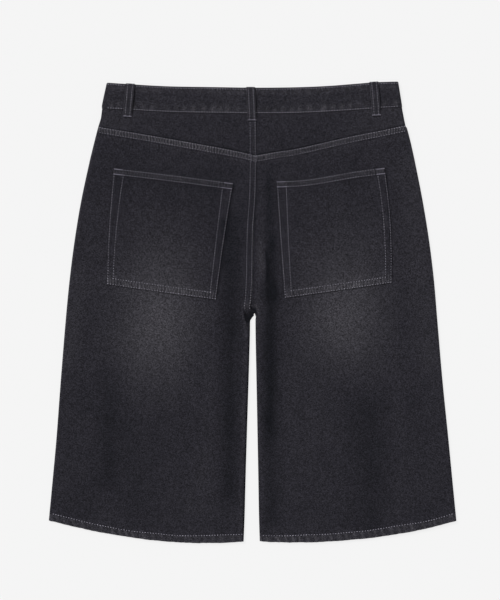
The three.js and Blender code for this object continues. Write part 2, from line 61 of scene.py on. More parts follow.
def smooth(at: Array | float, start: float, end: float) -> Array:
    """Soft step from 0 at start to 1 at end."""
    part = np.clip((at - start) / (end - start), 0, 1)
    return part * part * (3 - 2 * part)


def bell(away: Array | float, width: float) -> Array:
    """Soft hill of height 1, width from its middle to where it is a third as high."""
    return np.exp(-((away / width) ** 2))


def band(at: Array, start: float, end: float, soft: float) -> Array:
    """1 between start and end, falling softly to 0 outside."""
    return smooth(at, start - soft, start + soft) * (1 - smooth(at, end - soft, end + soft))


@dataclass(frozen=True)
class Table:
    """A short table of sizes with named columns."""

    columns: str
    rows: tuple[tuple[float, ...], ...]

    def column(self, name: str) -> Array:
        """All values of one column."""
        place = self.columns.split().index(name)
        return np.array([row[place] for row in self.rows], float)

    def records(self) -> list[dict[str, float]]:
        """The rows as dictionaries by column name."""
        return [dict(zip(self.columns.split(), row)) for row in self.rows]

    def curve(self, place: str, name: str, at: Array) -> Array:
        """Read a column on a smooth curve through the rows.

        Args:
            place: column that says where each row stands.
            name: column to read.
            at: places to read it at.

        Returns:
            The column's values there, held at the ends.
        """
        stands, values = self.column(place), self.column(name)
        order = np.argsort(stands)
        stands, values = stands[order], values[order]
        slope = np.zeros(len(values))
        slope[1:-1] = (values[2:] - values[:-2]) / (stands[2:] - stands[:-2])
        slope[0] = (values[1] - values[0]) / (stands[1] - stands[0])
        slope[-1] = (values[-1] - values[-2]) / (stands[-1] - stands[-2])
        at = np.clip(at, stands[0], stands[-1])
        i = np.clip(np.searchsorted(stands, at) - 1, 0, len(stands) - 2)
        span = stands[i + 1] - stands[i]
        t = (at - stands[i]) / span
        return (
            (2 * t**3 - 3 * t**2 + 1) * values[i]
            + (3 * t**2 - 2 * t**3) * values[i + 1]
            + span * ((t**3 - 2 * t**2 + t) * slope[i] + (t**3 - t**2) * slope[i + 1])
        )

    def straight(self, place: str, name: str, at: Array) -> Array:
        """Read a column straight from row to row; arguments as in curve."""
        stands, values = self.column(place), self.column(name)
        order = np.argsort(stands)
        return np.interp(at, stands[order], values[order])


@dataclass(frozen=True)
class Wander:
    """Smooth unevenness between -1 and 1 with a fixed seed, for hand-made spacing and wear."""

    seed: int
    spacing: float

    def _knots(self) -> Array:
        return np.random.default_rng(self.seed).uniform(-1, 1, 4096)

    def line(self, at: Array) -> Array:
        """Unevenness along a line."""
        step = np.asarray(at, float) / self.spacing + 997
        low = np.floor(step).astype(int)
        part = smooth(step - low, 0, 1)
        knots = self._knots()
        return mix(knots[low % 4096], knots[(low + 1) % 4096], part)

    def field(self, x: Array, y: Array) -> Array:
        """Unevenness over a surface."""
        row = np.floor(np.asarray(y, float) / self.spacing + 997)
        part = smooth(np.asarray(y, float) / self.spacing + 997 - row, 0, 1)
        shift = 131.7 * self.spacing
        return mix(self.line(x + shift * row), self.line(x + shift * (row + 1)), part)


@dataclass(frozen=True)
class Puckers:
    """Uneven ridges that sewing draws up across a seam."""

    pitch: float
    seed: int
    sharp: float = 1.6

    def at(self, along: Array) -> Array:
        """Height of the ridges, from 0 to 1, at places along the seam."""
        beat = along / self.pitch + 0.42 * Wander(self.seed, 2.1 * self.pitch).line(along)
        ridge = (0.5 + 0.5 * np.cos(2 * math.pi * beat)) ** self.sharp
        return ridge * (0.62 + 0.38 * Wander(self.seed + 1, 2.7 * self.pitch).line(along))


class Side(Enum):
    """The wearer's side."""

    LEFT = "left"
    RIGHT = "right"

    @property
    def inward(self) -> int:
        """Sign of X on the way from this side to the middle."""
        return 1 if self is Side.LEFT else -1


@dataclass(frozen=True)
class Form:
    """Laid-out form of the shorts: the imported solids' own, plus a nap and a closer seat gap."""

    cloth: float = 1.2
    band_wall: float = 2.0
    band_height: float = 37.6
    loop_wall: float = 1.6
    seam_gap: float = 0.3
    seat_gap: float = 0.02
    laid_gap: float = 0.4
    back_top: float = 5.3
    front_lift: float = 1.9
    yoke_top: float = 7.2
    band_top: float = 7.8
    fly_rise: float = 0.9
    lift_start: float = 215
    lift_end: float = 290
    side_roll: float = 4
    lap: float = 7.6
    lap_rise: float = 0.9
    hem: float = 10
    step: float = 1.2
    front_dip: float = 10
    front_dip_reach: float = 205
    lap_end_left: float = 18
    lap_end_right: float = -16

    waist_side: Table = Table("y left right", (
        (339, -213.6, 213.2),
        (304, -221.1, 218.7),
        (298, -221, 219.5),
        (278, -223.7, 223.4),
        (272.5, -225.1, 224.7),
    ))
    leg_side: Table = Table("y left right", (
        (272.4, -226.6, 226),
        (253, -231.7, 231.2),
        (224, -238.9, 237.8),
        (165, -251.6, 249.5),
        (106, -261.4, 259.1),
        (48, -268.8, 266.2),
        (-11, -274.5, 271.2),
        (-99, -281.7, 278.7),
        (-188, -288.4, 287.7),
        (-246, -293.7, 293.3),
        (-306, -299.4, 299.2),
    ))
    waistband: Table = Table("x top bottom", (
        (-217, 337.3, 298.6),
        (-190, 335.5, 297.4),
        (-154, 333.2, 295.1),
        (-119, 331.6, 293.4),
        (-48, 330.4, 292.1),
        (0, 329.6, 291.5),
        (48, 330, 291.7),
        (76, 330.7, 292.5),
        (111, 332.3, 294.1),
        (146, 335, 296.3),
        (181, 337.7, 298.8),
        (217, 338.9, 301.3),
    ))
    yoke_seam: Table = Table("x y", (
        (-226, 272.5),
        (-148, 259.4),
        (-63, 244.3),
        (-36, 239.2),
        (-10, 233.8),
        (4, 230.6),
        (17, 232.5),
        (34, 235.6),
        (61, 239.6),
        (105, 249.4),
        (149, 259.3),
        (187, 266.8),
        (226, 275),
    ))
    hem_edge: Table = Table("out left right", (
        (13, -336.6, -336.1),
        (33, -337.9, -337.4),
        (68, -338.6, -337.6),
        (104, -338, -336.7),
        (140, -334.8, -334.1),
        (174, -331.1, -331.1),
        (210, -325, -325.4),
        (245, -318.4, -319.5),
        (299.3, -305.3, -306),
    ))
    # Height of the hem's stitch row above the edge, which wanders as it was sewn
    hem_row: Table = Table("out left right", (
        (16, 11, 9),
        (48, 11.6, 9.8),
        (75, 11, 10.9),
        (110, 10.2, 10.9),
        (150, 10.2, 11.1),
        (190, 9.5, 11.4),
        (225, 10.1, 11.7),
        (262, 11, 10.6),
        (292, 11, 11.6),
    ))
    # Fibres stand out from a cut or folded edge by this much
    nap: float = 0.6
    leg_nap: float = 1.0
    seat_seam: Table = Table("y x", (
        (292, 5.2),
        (180, 4.9),
        (121, 1.2),
        (48, -0.2),
        (18, -2),
        (8, -3.2),
        (3, -1),
        (-2.4, 4.6),
    ))
    left_leg: Table = Table("y x", (
        (-11.2, -4.8),
        (-26, -4.9),
        (-55, -5.6),
        (-99, -6.9),
        (-188, -9.7),
        (-246, -11.4),
        (-300, -12.8),
        (-336, -14.2),
    ))
    right_leg: Table = Table("y x", (
        (-6, 5.1),
        (-26, 5.2),
        (-55, 5.7),
        (-99, 6.6),
        (-188, 8.3),
        (-246, 9.4),
        (-300, 10.3),
        (-336, 11.4),
    ))
    left_crotch: Table = Table("y fold roll pit", (
        (5, 0, 12, 1),
        (1, 1, 13, 1),
        (-3, 1, 18, 1),
        (-8, 1, 12, 1),
        (-14, 1, 6, 0.8),
        (-20, 1, 4.5, 0.4),
        (-29, 1, 4, 0),
    ))
    right_crotch: Table = Table("y fold roll pit", (
        (10, 0, 4, 1),
        (7, 0.8, 7, 1),
        (3, 1, 8, 1),
        (-2, 1, 4, 0.6),
        (-10, 1, 4, 0),
    ))
    folds: Table = Table("x y to_x to_y width rise", (
        (-204, -60, -196, -310, 22, -0.9),
        (-128, -55, -134, -300, 32, 0.6),
        (-24, 60, -33, -330, 11, -1),
        (-262, -10, -272, -300, 16, 0.6),
        (27, 100, 33, -330, 10, -1.1),
        (92, -55, 98, -300, 32, 0.6),
        (182, -70, 186, -310, 22, -0.9),
        (254, -10, 266, -300, 18, 0.7),
        (14, 92, 17, 22, 6, 1.1),
        (-6, 9, -5, 14, 8, 1.2),
    ))

    def side_x(self, side: Side, y: Array) -> Array:
        """X of the side edge."""
        waist, leg = (table.curve("y", side.value, y) for table in (self.waist_side, self.leg_side))
        return np.where(y > self.leg_side.rows[0][0], waist, leg) - side.inward * self.nap

    def yoke_y(self, x: Array) -> Array:
        """Y of the lapped seam between yoke and back panel."""
        return self.yoke_seam.curve("x", "y", x)

    def by_leg(self, table: Table, x: Array) -> Array:
        """Read a table that has a column for each leg by distance from the middle."""
        out = np.abs(x)
        return np.where(x < 0, table.curve("out", "left", out), table.curve("out", "right", out))

    def hem_y(self, x: Array) -> Array:
        """Y of the hem."""
        return self.by_leg(self.hem_edge, x) - self.nap

    def band_y(self, x: Array, edge: str) -> Array:
        """Y of the waistband's top or bottom edge at the back."""
        return self.waistband.curve("x", edge, x) + (self.nap / 2 if edge == "top" else 0.0)

    def dip(self, x: Array) -> Array:
        """How much lower the waist is at the front."""
        return self.front_dip * (1 - smooth(np.abs(x), 0, self.front_dip_reach))

    def inner_x(self, side: Side, y: Array) -> Array:
        """X of the seat seam, and below the crotch of the inner leg."""
        leg, gap = (self.left_leg, 0.0) if side is Side.LEFT else (self.right_leg, self.seat_gap)
        seam = self.seat_seam.curve("y", "x", y) + gap
        (end_y, end_x), (leg_y, leg_x) = self.seat_seam.rows[-1], leg.rows[0]
        bridge = mix(end_x + gap, leg_x, np.clip((end_y - y) / (end_y - leg_y), 0, 1))
        nap = side.inward * self.leg_nap * smooth(leg_y - y, -2, 3)
        return np.where(y >= end_y, seam, np.where(y >= leg_y, bridge, leg.curve("y", "x", y))) + nap

    def crotch(self, side: Side, y: Array) -> tuple[Array, Array, Array]:
        """How far the inner edge turns down, over what width, and how far it drops into the hollow."""
        rows = self.left_crotch if side is Side.LEFT else self.right_crotch
        return tuple(rows.straight("y", name, y) for name in ("fold", "roll", "pit"))

    def front_z(self, y: Array) -> Array:
        """Outside of the front, which lies on the surface."""
        return self.front_lift * smooth(y, self.lift_start, self.lift_end)

    def fly_z(self, x: Array, y: Array) -> Array:
        """How much the fly under it pushes the back up."""
        return self.fly_rise * bell(x, 55) * smooth(y, 60, 150)

    def back_z(self, x: Array, y: Array) -> Array:
        """Outside of the back, with its largest folds."""
        height = mix(self.back_top, self.yoke_top, smooth(y, 190, self.lift_end)) + self.fly_z(x, y)
        for fold in self.folds.records():
            height = height + fold["rise"] * bell(line_distance(fold, x, y), fold["width"])
        return height

    def side_join(self, side: Side, y: Array) -> Array:
        """Height of the side seam, half-way up the turned edge."""
        return (self.front_z(y) + self.back_z(self.side_x(side, y), y)) / 2


def line_distance(line: dict[str, float], x: Array, y: Array) -> Array:
    """Distance from a line given by x, y, to_x and to_y."""
    run = np.array([line["to_x"] - line["x"], line["to_y"] - line["y"]])
    part = ((x - line["x"]) * run[0] + (y - line["y"]) * run[1]) / (run @ run)
    part = np.clip(part, 0, 1)
    return np.hypot(x - line["x"] - part * run[0], y - line["y"] - part * run[1])


@dataclass(frozen=True)
class Wash:
    """Where the cloth is worn paler or stays darker, and its smaller creases, with painted shade and
    highlights on folds, beside the pockets and at the crotch fold.

    Fade runs from 0, the darkest dye and painted shade, to 1, worn to the pale core of the yarn.
    """

    base: float = 0.074
    patches: Table = Table("x y wide tall fade", (
        (-139, -23, 54, 76, 0.19),
        (-137, 62, 60, 66, 0.068),
        (133, -19, 54, 60, 0.15),
        (136, 55, 62, 72, 0.09),
        (-75, -262, 34, 60, 0.014),
        (92, -200, 34, 90, 0.014),
        (-150, 175, 50, 30, -0.012),
        (-60, 180, 40, 60, -0.014),
        # Painted highlights on the lit left side of the crotch fold and down the right inner leg edge
        (12, 78, 7, 30, 0.075),
        (12, 20, 8, 26, 0.02),
        (9, -5, 6, 40, 0.02),
    ))
    creases: Table = Table("x y to_x to_y width rise fade", (
        # Darker bands by the inner legs and in the leg troughs: partly darker dye, partly painted shade, with
        # the crotch fold's painted shadow in the right one
        (-33, 130, -34, -265, 15, 0, -0.045),
        (28, 100, 28, 30, 9, 0, -0.064),
        (28, 30, 26, -170, 12, 0, -0.064),
        (24, 190, 26, 110, 9, 0, -0.03),
        (26, -170, 30, -300, 13, 0, -0.034),
        (-209, -95, -211, -245, 17, 0, -0.026),
        (-180, -150, -178, -300, 15, 0, -0.018),
        (168, -150, 178, -310, 24, 0, -0.03),
        (230, 215, 262, -60, 20, 0, 0.04),
        (262, -60, 276, -230, 17, 0, 0.016),
        (-258, 60, -268, -70, 13, 0, 0.045),
        # Painted shadow along the crotch fold's steep right edge
        (13.3, 98, 16.5, 92, 2.2, 0.2, -0.04),
        (16.5, 92, 20.6, 81, 2.2, 0.2, -0.06),
        (20.6, 81, 22.2, 73, 2.4, 0.2, -0.07),
        (22.2, 73, 21.4, 58, 2.4, 0.2, -0.07),
        (21.4, 58, 20.6, 45, 2.6, 0.2, -0.05),
        # Painted shadow lines outside the pockets' edges
        (-26.8, 188, -52.2, 20, 1.7, -0.15, -0.035),
        (34, 190, 46, 24, 1.5, -0.1, -0.02),
        (196.6, 210, 201, 130, 1.8, -0.15, -0.035),
        (201, 130, 205.6, 44, 1.8, -0.15, -0.035),
        # Painted shade at the foot of the crotch fold, painted highlights on its ridges, and painted shade in
        # a groove
        (12.5, 50, 13.5, 22, 3.2, -0.3, -0.04),
        (12, 97, 19, 62, 5, 0.5, 0.02),
        (12, 215, 14, 120, 5, 0.35, 0.012),
        (25, 200, 23, 130, 4, -0.3, -0.012),
        # Leg folds: a little paler on the ridges, with painted shade in the valleys
        (-60, -60, -66, -290, 14, 0.3, 0.004),
        (-165, -70, -178, -310, 12, 0.35, 0.006),
        (-225, -90, -236, -305, 10, -0.35, -0.004),
        (-95, -80, -104, -325, 10, -0.3, -0.004),
        (60, -70, 66, -320, 11, 0.3, 0.004),
        (140, -85, 152, -325, 13, -0.35, -0.006),
        (214, -60, 226, -300, 12, 0.35, 0.006),
    ))

    def ground(self, x: Array, y: Array) -> tuple[Array, Array]:
        """Height and fade of plain cloth over the whole back.

        Args:
            x, y: places on the back.

        Returns:
            The small creases' height, and the fade.
        """
        fade = self.base + 0.008 * Wander(3, 42).field(x, y) + 0.007 * Wander(4, 16).field(x, y)
        fade = fade * (1 + 0.1 * Wander(7, 6).field(x, y))
        for patch in self.patches.records():
            away = np.hypot((x - patch["x"]) / patch["wide"], (y - patch["y"]) / patch["tall"])
            fade = fade + patch["fade"] * bell(away, 1)
        rise = 0.16 * Wander(5, 34).field(x, y) + 0.07 * Wander(6, 13).field(x, y)
        for crease in self.creases.records():
            weight = bell(line_distance(crease, x, y), crease["width"])
            rise = rise + crease["rise"] * weight
            fade = fade + crease["fade"] * weight
        return rise, np.maximum(fade, 0.0)


@dataclass(frozen=True)
class Crotch:
    """Where the four seams meet: a thick tongue over a hollow, with creases round it; the hollows carry
    painted shade and the ridges painted highlights.
    """

    hollows: Table = Table("side x y to_x to_y width rise fade", (
        # Hollows: sunk, with painted shade
        (-1, -13.2, 1.6, -10.6, -6, 1.4, -0.9, -0.14),
        (-1, -10.6, -6, -7.4, -14, 2.2, -1.2, -0.16),
        (-1, -3.5, -8.5, 3, -2.5, 2.8, 0, -0.12),
        (-1, -6, -4, 1, 1, 3, 0, -0.05),
        (1, 2.6, 6.5, 4.6, -0.5, 1.9, -0.9, -0.16),
    ))
    ridges: Table = Table("side x y to_x to_y width rise fade", (
        # Ridges: raised, with painted highlights
        (-1, -15.2, 2, -14.2, -6, 1.5, 0.3, 0.07),
        (-1, -14.2, -6, -9.6, -20, 1.5, 0.3, 0.08),
        (-1, -12, 9, -4, 13, 3.4, 0.5, 0.11),
        (-1, -10, 4, -4, 6, 2.6, 0.5, 0.08),
        (1, -0.3, 10, 3.4, 11, 1.2, 0.4, 0.17),
        (1, 3.4, 11, 6.9, 6.5, 1.2, 0.4, 0.17),
        (1, 6.9, 6.5, 7.9, -1, 1.3, 0.3, 0.11),
    ))

    def details(self, side: Side, x: Array, y: Array) -> tuple[Array, Array]:
        """Height of the hollows and ridges on one side, and their painted shade and highlights."""
        rise, fade = 0 * x, 0 * x
        for line in self.hollows.records() + self.ridges.records():
            if line["side"] == -side.inward:
                weight = bell(line_distance(line, x, y), line["width"])
                rise = rise + line["rise"] * weight
                fade = fade + line["fade"] * weight
        return rise, fade


FORM = Form()
WASH = Wash()
CROTCH = Crotch()


def linear(code: str) -> tuple[float, float, float, float]:
    """Turn an sRGB hex colour into linear RGBA."""
    parts = (int(code[i : i + 2], 16) / 255 for i in (1, 3, 5))
    return (*(c / 12.92 if c <= 0.04045 else ((c + 0.055) / 1.055) ** 2.4 for c in parts), 1.0)


def add(tree: bpy.types.NodeTree, kind: str, inputs: dict | None = None,
        **settings: object) -> bpy.types.Node:
    """Add a node.

    Args:
        tree: tree that gets it.
        kind: the node's type.
        inputs: by socket name or number, a value or the output that feeds it.
        settings: the node's own properties.

    Returns:
        The new node.
    """
    node = tree.nodes.new(kind)
    for name, value in settings.items():
        setattr(node, name, value)
    for name, value in (inputs or {}).items():
        if isinstance(value, bpy.types.NodeSocket):
            tree.links.new(value, node.inputs[name])
        else:
            node.inputs[name].default_value = value
    return node


def blank_material(name: str) -> tuple[bpy.types.Material, bpy.types.NodeTree, bpy.types.NodeSocket]:
    """New material, its emptied tree, and Object coordinates in it."""
    material = bpy.data.materials.new(name)
    material.use_nodes = True
    tree = material.node_tree
    tree.nodes.clear()
    return material, tree, add(tree, "ShaderNodeTexCoord").outputs["Object"]


@dataclass(frozen=True)
class Denim:
    """Woven cotton twill, yarn-dyed black and stone washed.

    Matt with a faint nap; the pale core of the yarn shows where it is worn.
    """

    name: str
    # Darkest end of the ramp: the darkest dye, and painted shade in creases, crotch hollows and along the
    # inner legs
    deep_dye_and_shade: str = "#101116"
    dyed: str = "#25242a"
    worn: str = "#69676c"
    dyed_at: float = 0.075
    slub: tuple[float, float] = (1.4, 9.0)
    # A yarn is 0.5 mm thick on the real cloth; grains and twill lines are drawn coarser so that they show
    grain: float = 1.35
    twill: float = 1.8
    speckle: float = 1.5
    # Mean of the summed yarn patterns, and how much the pale fibres stand out of them
    mean: float = 1.62
    contrast: float = 2.0
    # Spacing of the narrow ridges that topstitching draws up
    rung: float = 4.3

    def material(self) -> bpy.types.Material:
        """Build the node material."""
        material, tree, coords = blank_material(self.name)
        # This attribute holds the wash's wear together with painted shade in creases and hollows and painted
        # highlights on lit fold sides
        fade = add(tree, "ShaderNodeAttribute", attribute_name="fade").outputs["Fac"]
        marks = add(tree, "ShaderNodeAttribute", attribute_name="rungs").outputs["Fac"]
        beat = add(tree, "ShaderNodeTexWave", {
            "Vector": coords, "Scale": math.pi / 10 / (self.rung * MM),
            "Distortion": 4.0, "Detail": 1.0, "Detail Scale": 1.5,
        }, wave_type="BANDS", bands_direction="X")
        beat = add(tree, "ShaderNodeMapRange", {
            "Value": beat.outputs["Fac"], "From Min": 0.4, "From Max": 0.9,
        })
        # Ladder marks added to the wear, which also carries the painted shade and highlights
        worn = add(tree, "ShaderNodeMath", {
            0: beat.outputs["Result"], 1: marks, 2: fade,
        }, operation="MULTIPLY_ADD")
        base = add(tree, "ShaderNodeValToRGB", {"Fac": worn.outputs["Value"]})
        base.color_ramp.elements[0].color = linear(self.deep_dye_and_shade)
        base.color_ramp.elements[1].color = linear(self.worn)
        base.color_ramp.elements.new(self.dyed_at).color = linear(self.dyed)
        grain = add(tree, "ShaderNodeTexVoronoi", {"Vector": coords, "Scale": 1 / (self.grain * MM)})
        grain = add(tree, "ShaderNodeSeparateColor", {"Color": grain.outputs["Color"]})
        speckle = add(tree, "ShaderNodeTexNoise", {
            "Vector": coords, "Scale": 1 / (self.speckle * MM), "Detail": 2.0, "Roughness": 0.7,
        })
        across, along = (1 / (size * MM) for size in self.slub)
        stretched = add(tree, "ShaderNodeMapping", {"Vector": coords, "Scale": (across, along, across)})
        slub = add(tree, "ShaderNodeTexNoise", {
            "Vector": stretched.outputs["Vector"], "Scale": 1.0, "Detail": 2.0, "Roughness": 0.6,
        })
        turned = add(tree, "ShaderNodeMapping", {"Vector": coords, "Rotation": (0, 0, math.radians(-33))})
        twill = add(tree, "ShaderNodeTexWave", {
            "Vector": turned.outputs["Vector"], "Scale": math.pi / 10 / (self.twill * MM),
            "Distortion": 2.2, "Detail": 2.0, "Detail Scale": 1.6,
        }, wave_type="BANDS", bands_direction="X")
        yarn = add(tree, "ShaderNodeMath", {0: twill.outputs["Fac"], 1: 0.12}, operation="MULTIPLY")
        for source, weight in (
            (grain.outputs["Red"], 0.8), (speckle.outputs["Fac"], 1.9), (slub.outputs["Fac"], 0.35),
        ):
            yarn = add(tree, "ShaderNodeMath", {
                0: source, 1: weight, 2: yarn.outputs["Value"],
            }, operation="MULTIPLY_ADD")
        evened = add(tree, "ShaderNodeMath", {0: yarn.outputs["Value"], 1: self.mean}, operation="DIVIDE")
        tone = add(tree, "ShaderNodeMath", {0: evened.outputs["Value"], 1: self.contrast}, operation="POWER")
        colour = add(tree, "ShaderNodeVectorMath", {
            0: base.outputs["Color"], "Scale": tone.outputs["Value"],
        }, operation="SCALE")
        bump = add(tree, "ShaderNodeBump", {
            "Strength": 0.3, "Distance": 0.2 * MM, "Height": yarn.outputs["Value"],
        })
        shader = add(tree, "ShaderNodeBsdfPrincipled", {
            "Base Color": colour.outputs["Vector"], "Roughness": 0.93, "IOR": 1.5, "Specular IOR Level": 0.12,
            "Sheen Weight": 0.04, "Sheen Roughness": 0.6, "Sheen Tint": linear("#8c8a96"),
            "Normal": bump.outputs["Normal"],
        })
        add(tree, "ShaderNodeOutputMaterial", {"Surface": shader.outputs["BSDF"]})
        return material


@dataclass(frozen=True)
class Thread:
    """Spun polyester topstitching thread, dyed grey and washed with the cloth; matt and a little uneven."""

    name: str
    colour: str = "#85828e"
    pale: str = "#b5b2bf"

    def material(self) -> bpy.types.Material:
        """Build the node material."""
        material, tree, coords = blank_material(self.name)
        wear = add(tree, "ShaderNodeTexNoise", {
            "Vector": coords, "Scale": 90.0, "Detail": 3.0, "Roughness": 0.7,
        })
        worn = add(tree, "ShaderNodeMapRange", {
            "Value": wear.outputs["Fac"], "From Min": 0.38, "From Max": 0.66,
        })
        colour = add(tree, "ShaderNodeMix", {
            0: worn.outputs["Result"], 6: linear(self.colour), 7: linear(self.pale),
        }, data_type="RGBA")
        fibre = add(tree, "ShaderNodeTexNoise", {"Vector": coords, "Scale": 4000.0})
        bump = add(tree, "ShaderNodeBump", {
            "Strength": 0.4, "Distance": 0.05 * MM, "Height": fibre.outputs["Fac"],
        })
        shader = add(tree, "ShaderNodeBsdfPrincipled", {
            "Base Color": colour.outputs[2], "Roughness": 0.7, "IOR": 1.5, "Specular IOR Level": 0.25,
            "Normal": bump.outputs["Normal"],
        })
        add(tree, "ShaderNodeOutputMaterial", {"Surface": shader.outputs["BSDF"]})
        return material


@dataclass(frozen=True)
class Metal:
    """Pressed steel with an aged gunmetal plating; dull, with paler rubbed spots."""

    name: str
    colour: str = "#6c6863"
    rubbed: str = "#a19c94"

    def material(self) -> bpy.types.Material:
        """Build the node material."""
        material, tree, coords = blank_material(self.name)
        wear = add(tree, "ShaderNodeTexNoise", {
            "Vector": coords, "Scale": 350.0, "Detail": 4.0, "Roughness": 0.7,
        })
        worn = add(tree, "ShaderNodeMapRange", {
            "Value": wear.outputs["Fac"], "From Min": 0.45, "From Max": 0.75,
        })
        colour = add(tree, "ShaderNodeMix", {
            0: worn.outputs["Result"], 6: linear(self.colour), 7: linear(self.rubbed),
        }, data_type="RGBA")
        rough = add(tree, "ShaderNodeMapRange", {"Value": wear.outputs["Fac"], "To Min": 0.5, "To Max": 0.3})
        shader = add(tree, "ShaderNodeBsdfPrincipled", {
            "Base Color": colour.outputs[2], "Metallic": 1.0, "Roughness": rough.outputs["Result"],
        })
        add(tree, "ShaderNodeOutputMaterial", {"Surface": shader.outputs["BSDF"]})
        return material


@dataclass(frozen=True)
class Floor:
    """White light table: an opal sheet lit from below, so that little shadow falls on it."""

    name: str = "pale_floor"
    colour: str = "#595959"
    glow: float = 0.812

    def material(self) -> bpy.types.Material:
        """Build the plain material."""
        material = bpy.data.materials.new(self.name)
        material.use_nodes = True
        shader = material.node_tree.nodes["Principled BSDF"]
        shader.inputs["Base Color"].default_value = linear(self.colour)
        shader.inputs["Roughness"].default_value = 1.0
        shader.inputs["Specular IOR Level"].default_value = 0.0
        shader.inputs["Emission Color"].default_value = (1, 1, 1, 1)
        shader.inputs["Emission Strength"].default_value = self.glow
        return material


@dataclass
class Wardrobe:
    """The finishes of all pieces, each made once."""

    denim: bpy.types.Material = field(default_factory=lambda: Denim("washed_twill").material())
    band: bpy.types.Material = field(
        default_factory=lambda: Denim("washed_twill_waistband", slub=(14.0, 1.5)).material()
    )
    thread: bpy.types.Material = field(default_factory=lambda: Thread("topstitching_thread").material())
    tack: bpy.types.Material = field(
        default_factory=lambda: Thread("bartack_thread", colour="#65626f", pale="#8c8996").material()
    )
    tape: bpy.types.Material = field(
        default_factory=lambda: Denim("zip_tape_weave", grain=0.7, speckle=0.9, slub=(0.8, 2.0)).material()
    )
    metal: bpy.types.Material = field(default_factory=lambda: Metal("aged_gunmetal").material())


def mesh_object(name: str, points: Array, faces: Array, material: bpy.types.Material,
                fade: Array | None = None, rungs: Array | None = None) -> bpy.types.Object:
    """Make a smooth mesh object of quads.

    Args:
        name: the object's name.
        points: corners in millimetres.
        faces: four corner numbers for each face, pointing out.
        material: its finish.
        fade: how worn each corner is, with painted shade and highlights mixed in.
        rungs: how strongly narrow ridges show there.

    Returns:
        The object, linked to the scene.
    """
    mesh = bpy.data.meshes.new(name)
    mesh.vertices.add(len(points))
    mesh.vertices.foreach_set("co", (points * MM).ravel())
    mesh.loops.add(faces.size)
    mesh.loops.foreach_set("vertex_index", faces.ravel())
    mesh.polygons.add(len(faces))
    mesh.polygons.foreach_set("loop_start", np.arange(0, faces.size, 4))
    mesh.polygons.foreach_set("use_smooth", np.ones(len(faces), bool))
    mesh.update(calc_edges=True)
    mesh.validate()
    if fade is not None:
        mesh.attributes.new("fade", "FLOAT", "POINT").data.foreach_set("value", fade.ravel())
    if rungs is not None:
        mesh.attributes.new("rungs", "FLOAT", "POINT").data.foreach_set("value", rungs.ravel())
    mesh.materials.append(material)
    piece = bpy.data.objects.new(name, mesh)
    bpy.context.scene.collection.objects.link(piece)
    return piece


def shell(name: str, outer: Array, inner: Array, material: bpy.types.Material, fade: Array,
          rungs: Array | None = None, inner_fade: float = 0.16) -> bpy.types.Object:
    """Make a closed wall of cloth between two grids of points.

    Args:
        name: the object's name.
        outer, inner: rows by columns by 3, in millimetres.
        material: its finish.
        fade: how worn the outside is, with painted shade and highlights mixed in, rows by columns.
        rungs: how strongly narrow ridges show on the outside, in the same way.
        inner_fade: the same for the paler inside.

    Returns:
        The object.
    """
    rows, columns, _ = outer.shape
    layer = rows * columns
    at = np.arange(layer).reshape(rows, columns)
    quads = np.stack([at[:-1, :-1], at[1:, :-1], at[1:, 1:], at[:-1, 1:]], -1).reshape(-1, 4)
    rim = np.concatenate([at[:-1, 0], at[-1, :-1], at[:0:-1, -1], at[0, :0:-1]])
    after = np.roll(rim, -1)
    edge = np.stack([rim, rim + layer, after + layer, after], -1)
    faces = np.concatenate([quads, quads[:, ::-1] + layer, edge])
    points = np.concatenate([outer.reshape(-1, 3), inner.reshape(-1, 3)])
    a, b, c, d = (points[faces[:, k]] for k in range(4))
    volume = np.einsum("ij,ij->", a, np.cross(b, c)) + np.einsum("ij,ij->", a, np.cross(c, d))
    if volume < 0:
        faces = faces[:, ::-1]
    # The outside's wear here also carries its painted shade and highlights
    worn = np.concatenate([fade.ravel(), np.full(layer, inner_fade)])
    marks = None if rungs is None else np.concatenate([rungs.ravel(), np.zeros(layer)])
    return mesh_object(name, points, np.ascontiguousarray(faces), material, worn, marks)


def steps(*stops: tuple[float, float]) -> Array:
    """Places that run from 0 through the stops, each given with the spacing up to it."""
    places = [0.0]
    for stop, spacing in stops:
        parts = max(1, math.ceil((stop - places[-1]) / spacing))
        places.extend(mix(places[-1], stop, (i + 1) / parts) for i in range(parts))
    return np.array(places)


class Edge(Enum):
    """What a column of a panel belongs to."""

    SIDE = 0
    ACROSS = 1
    SEAM = 2


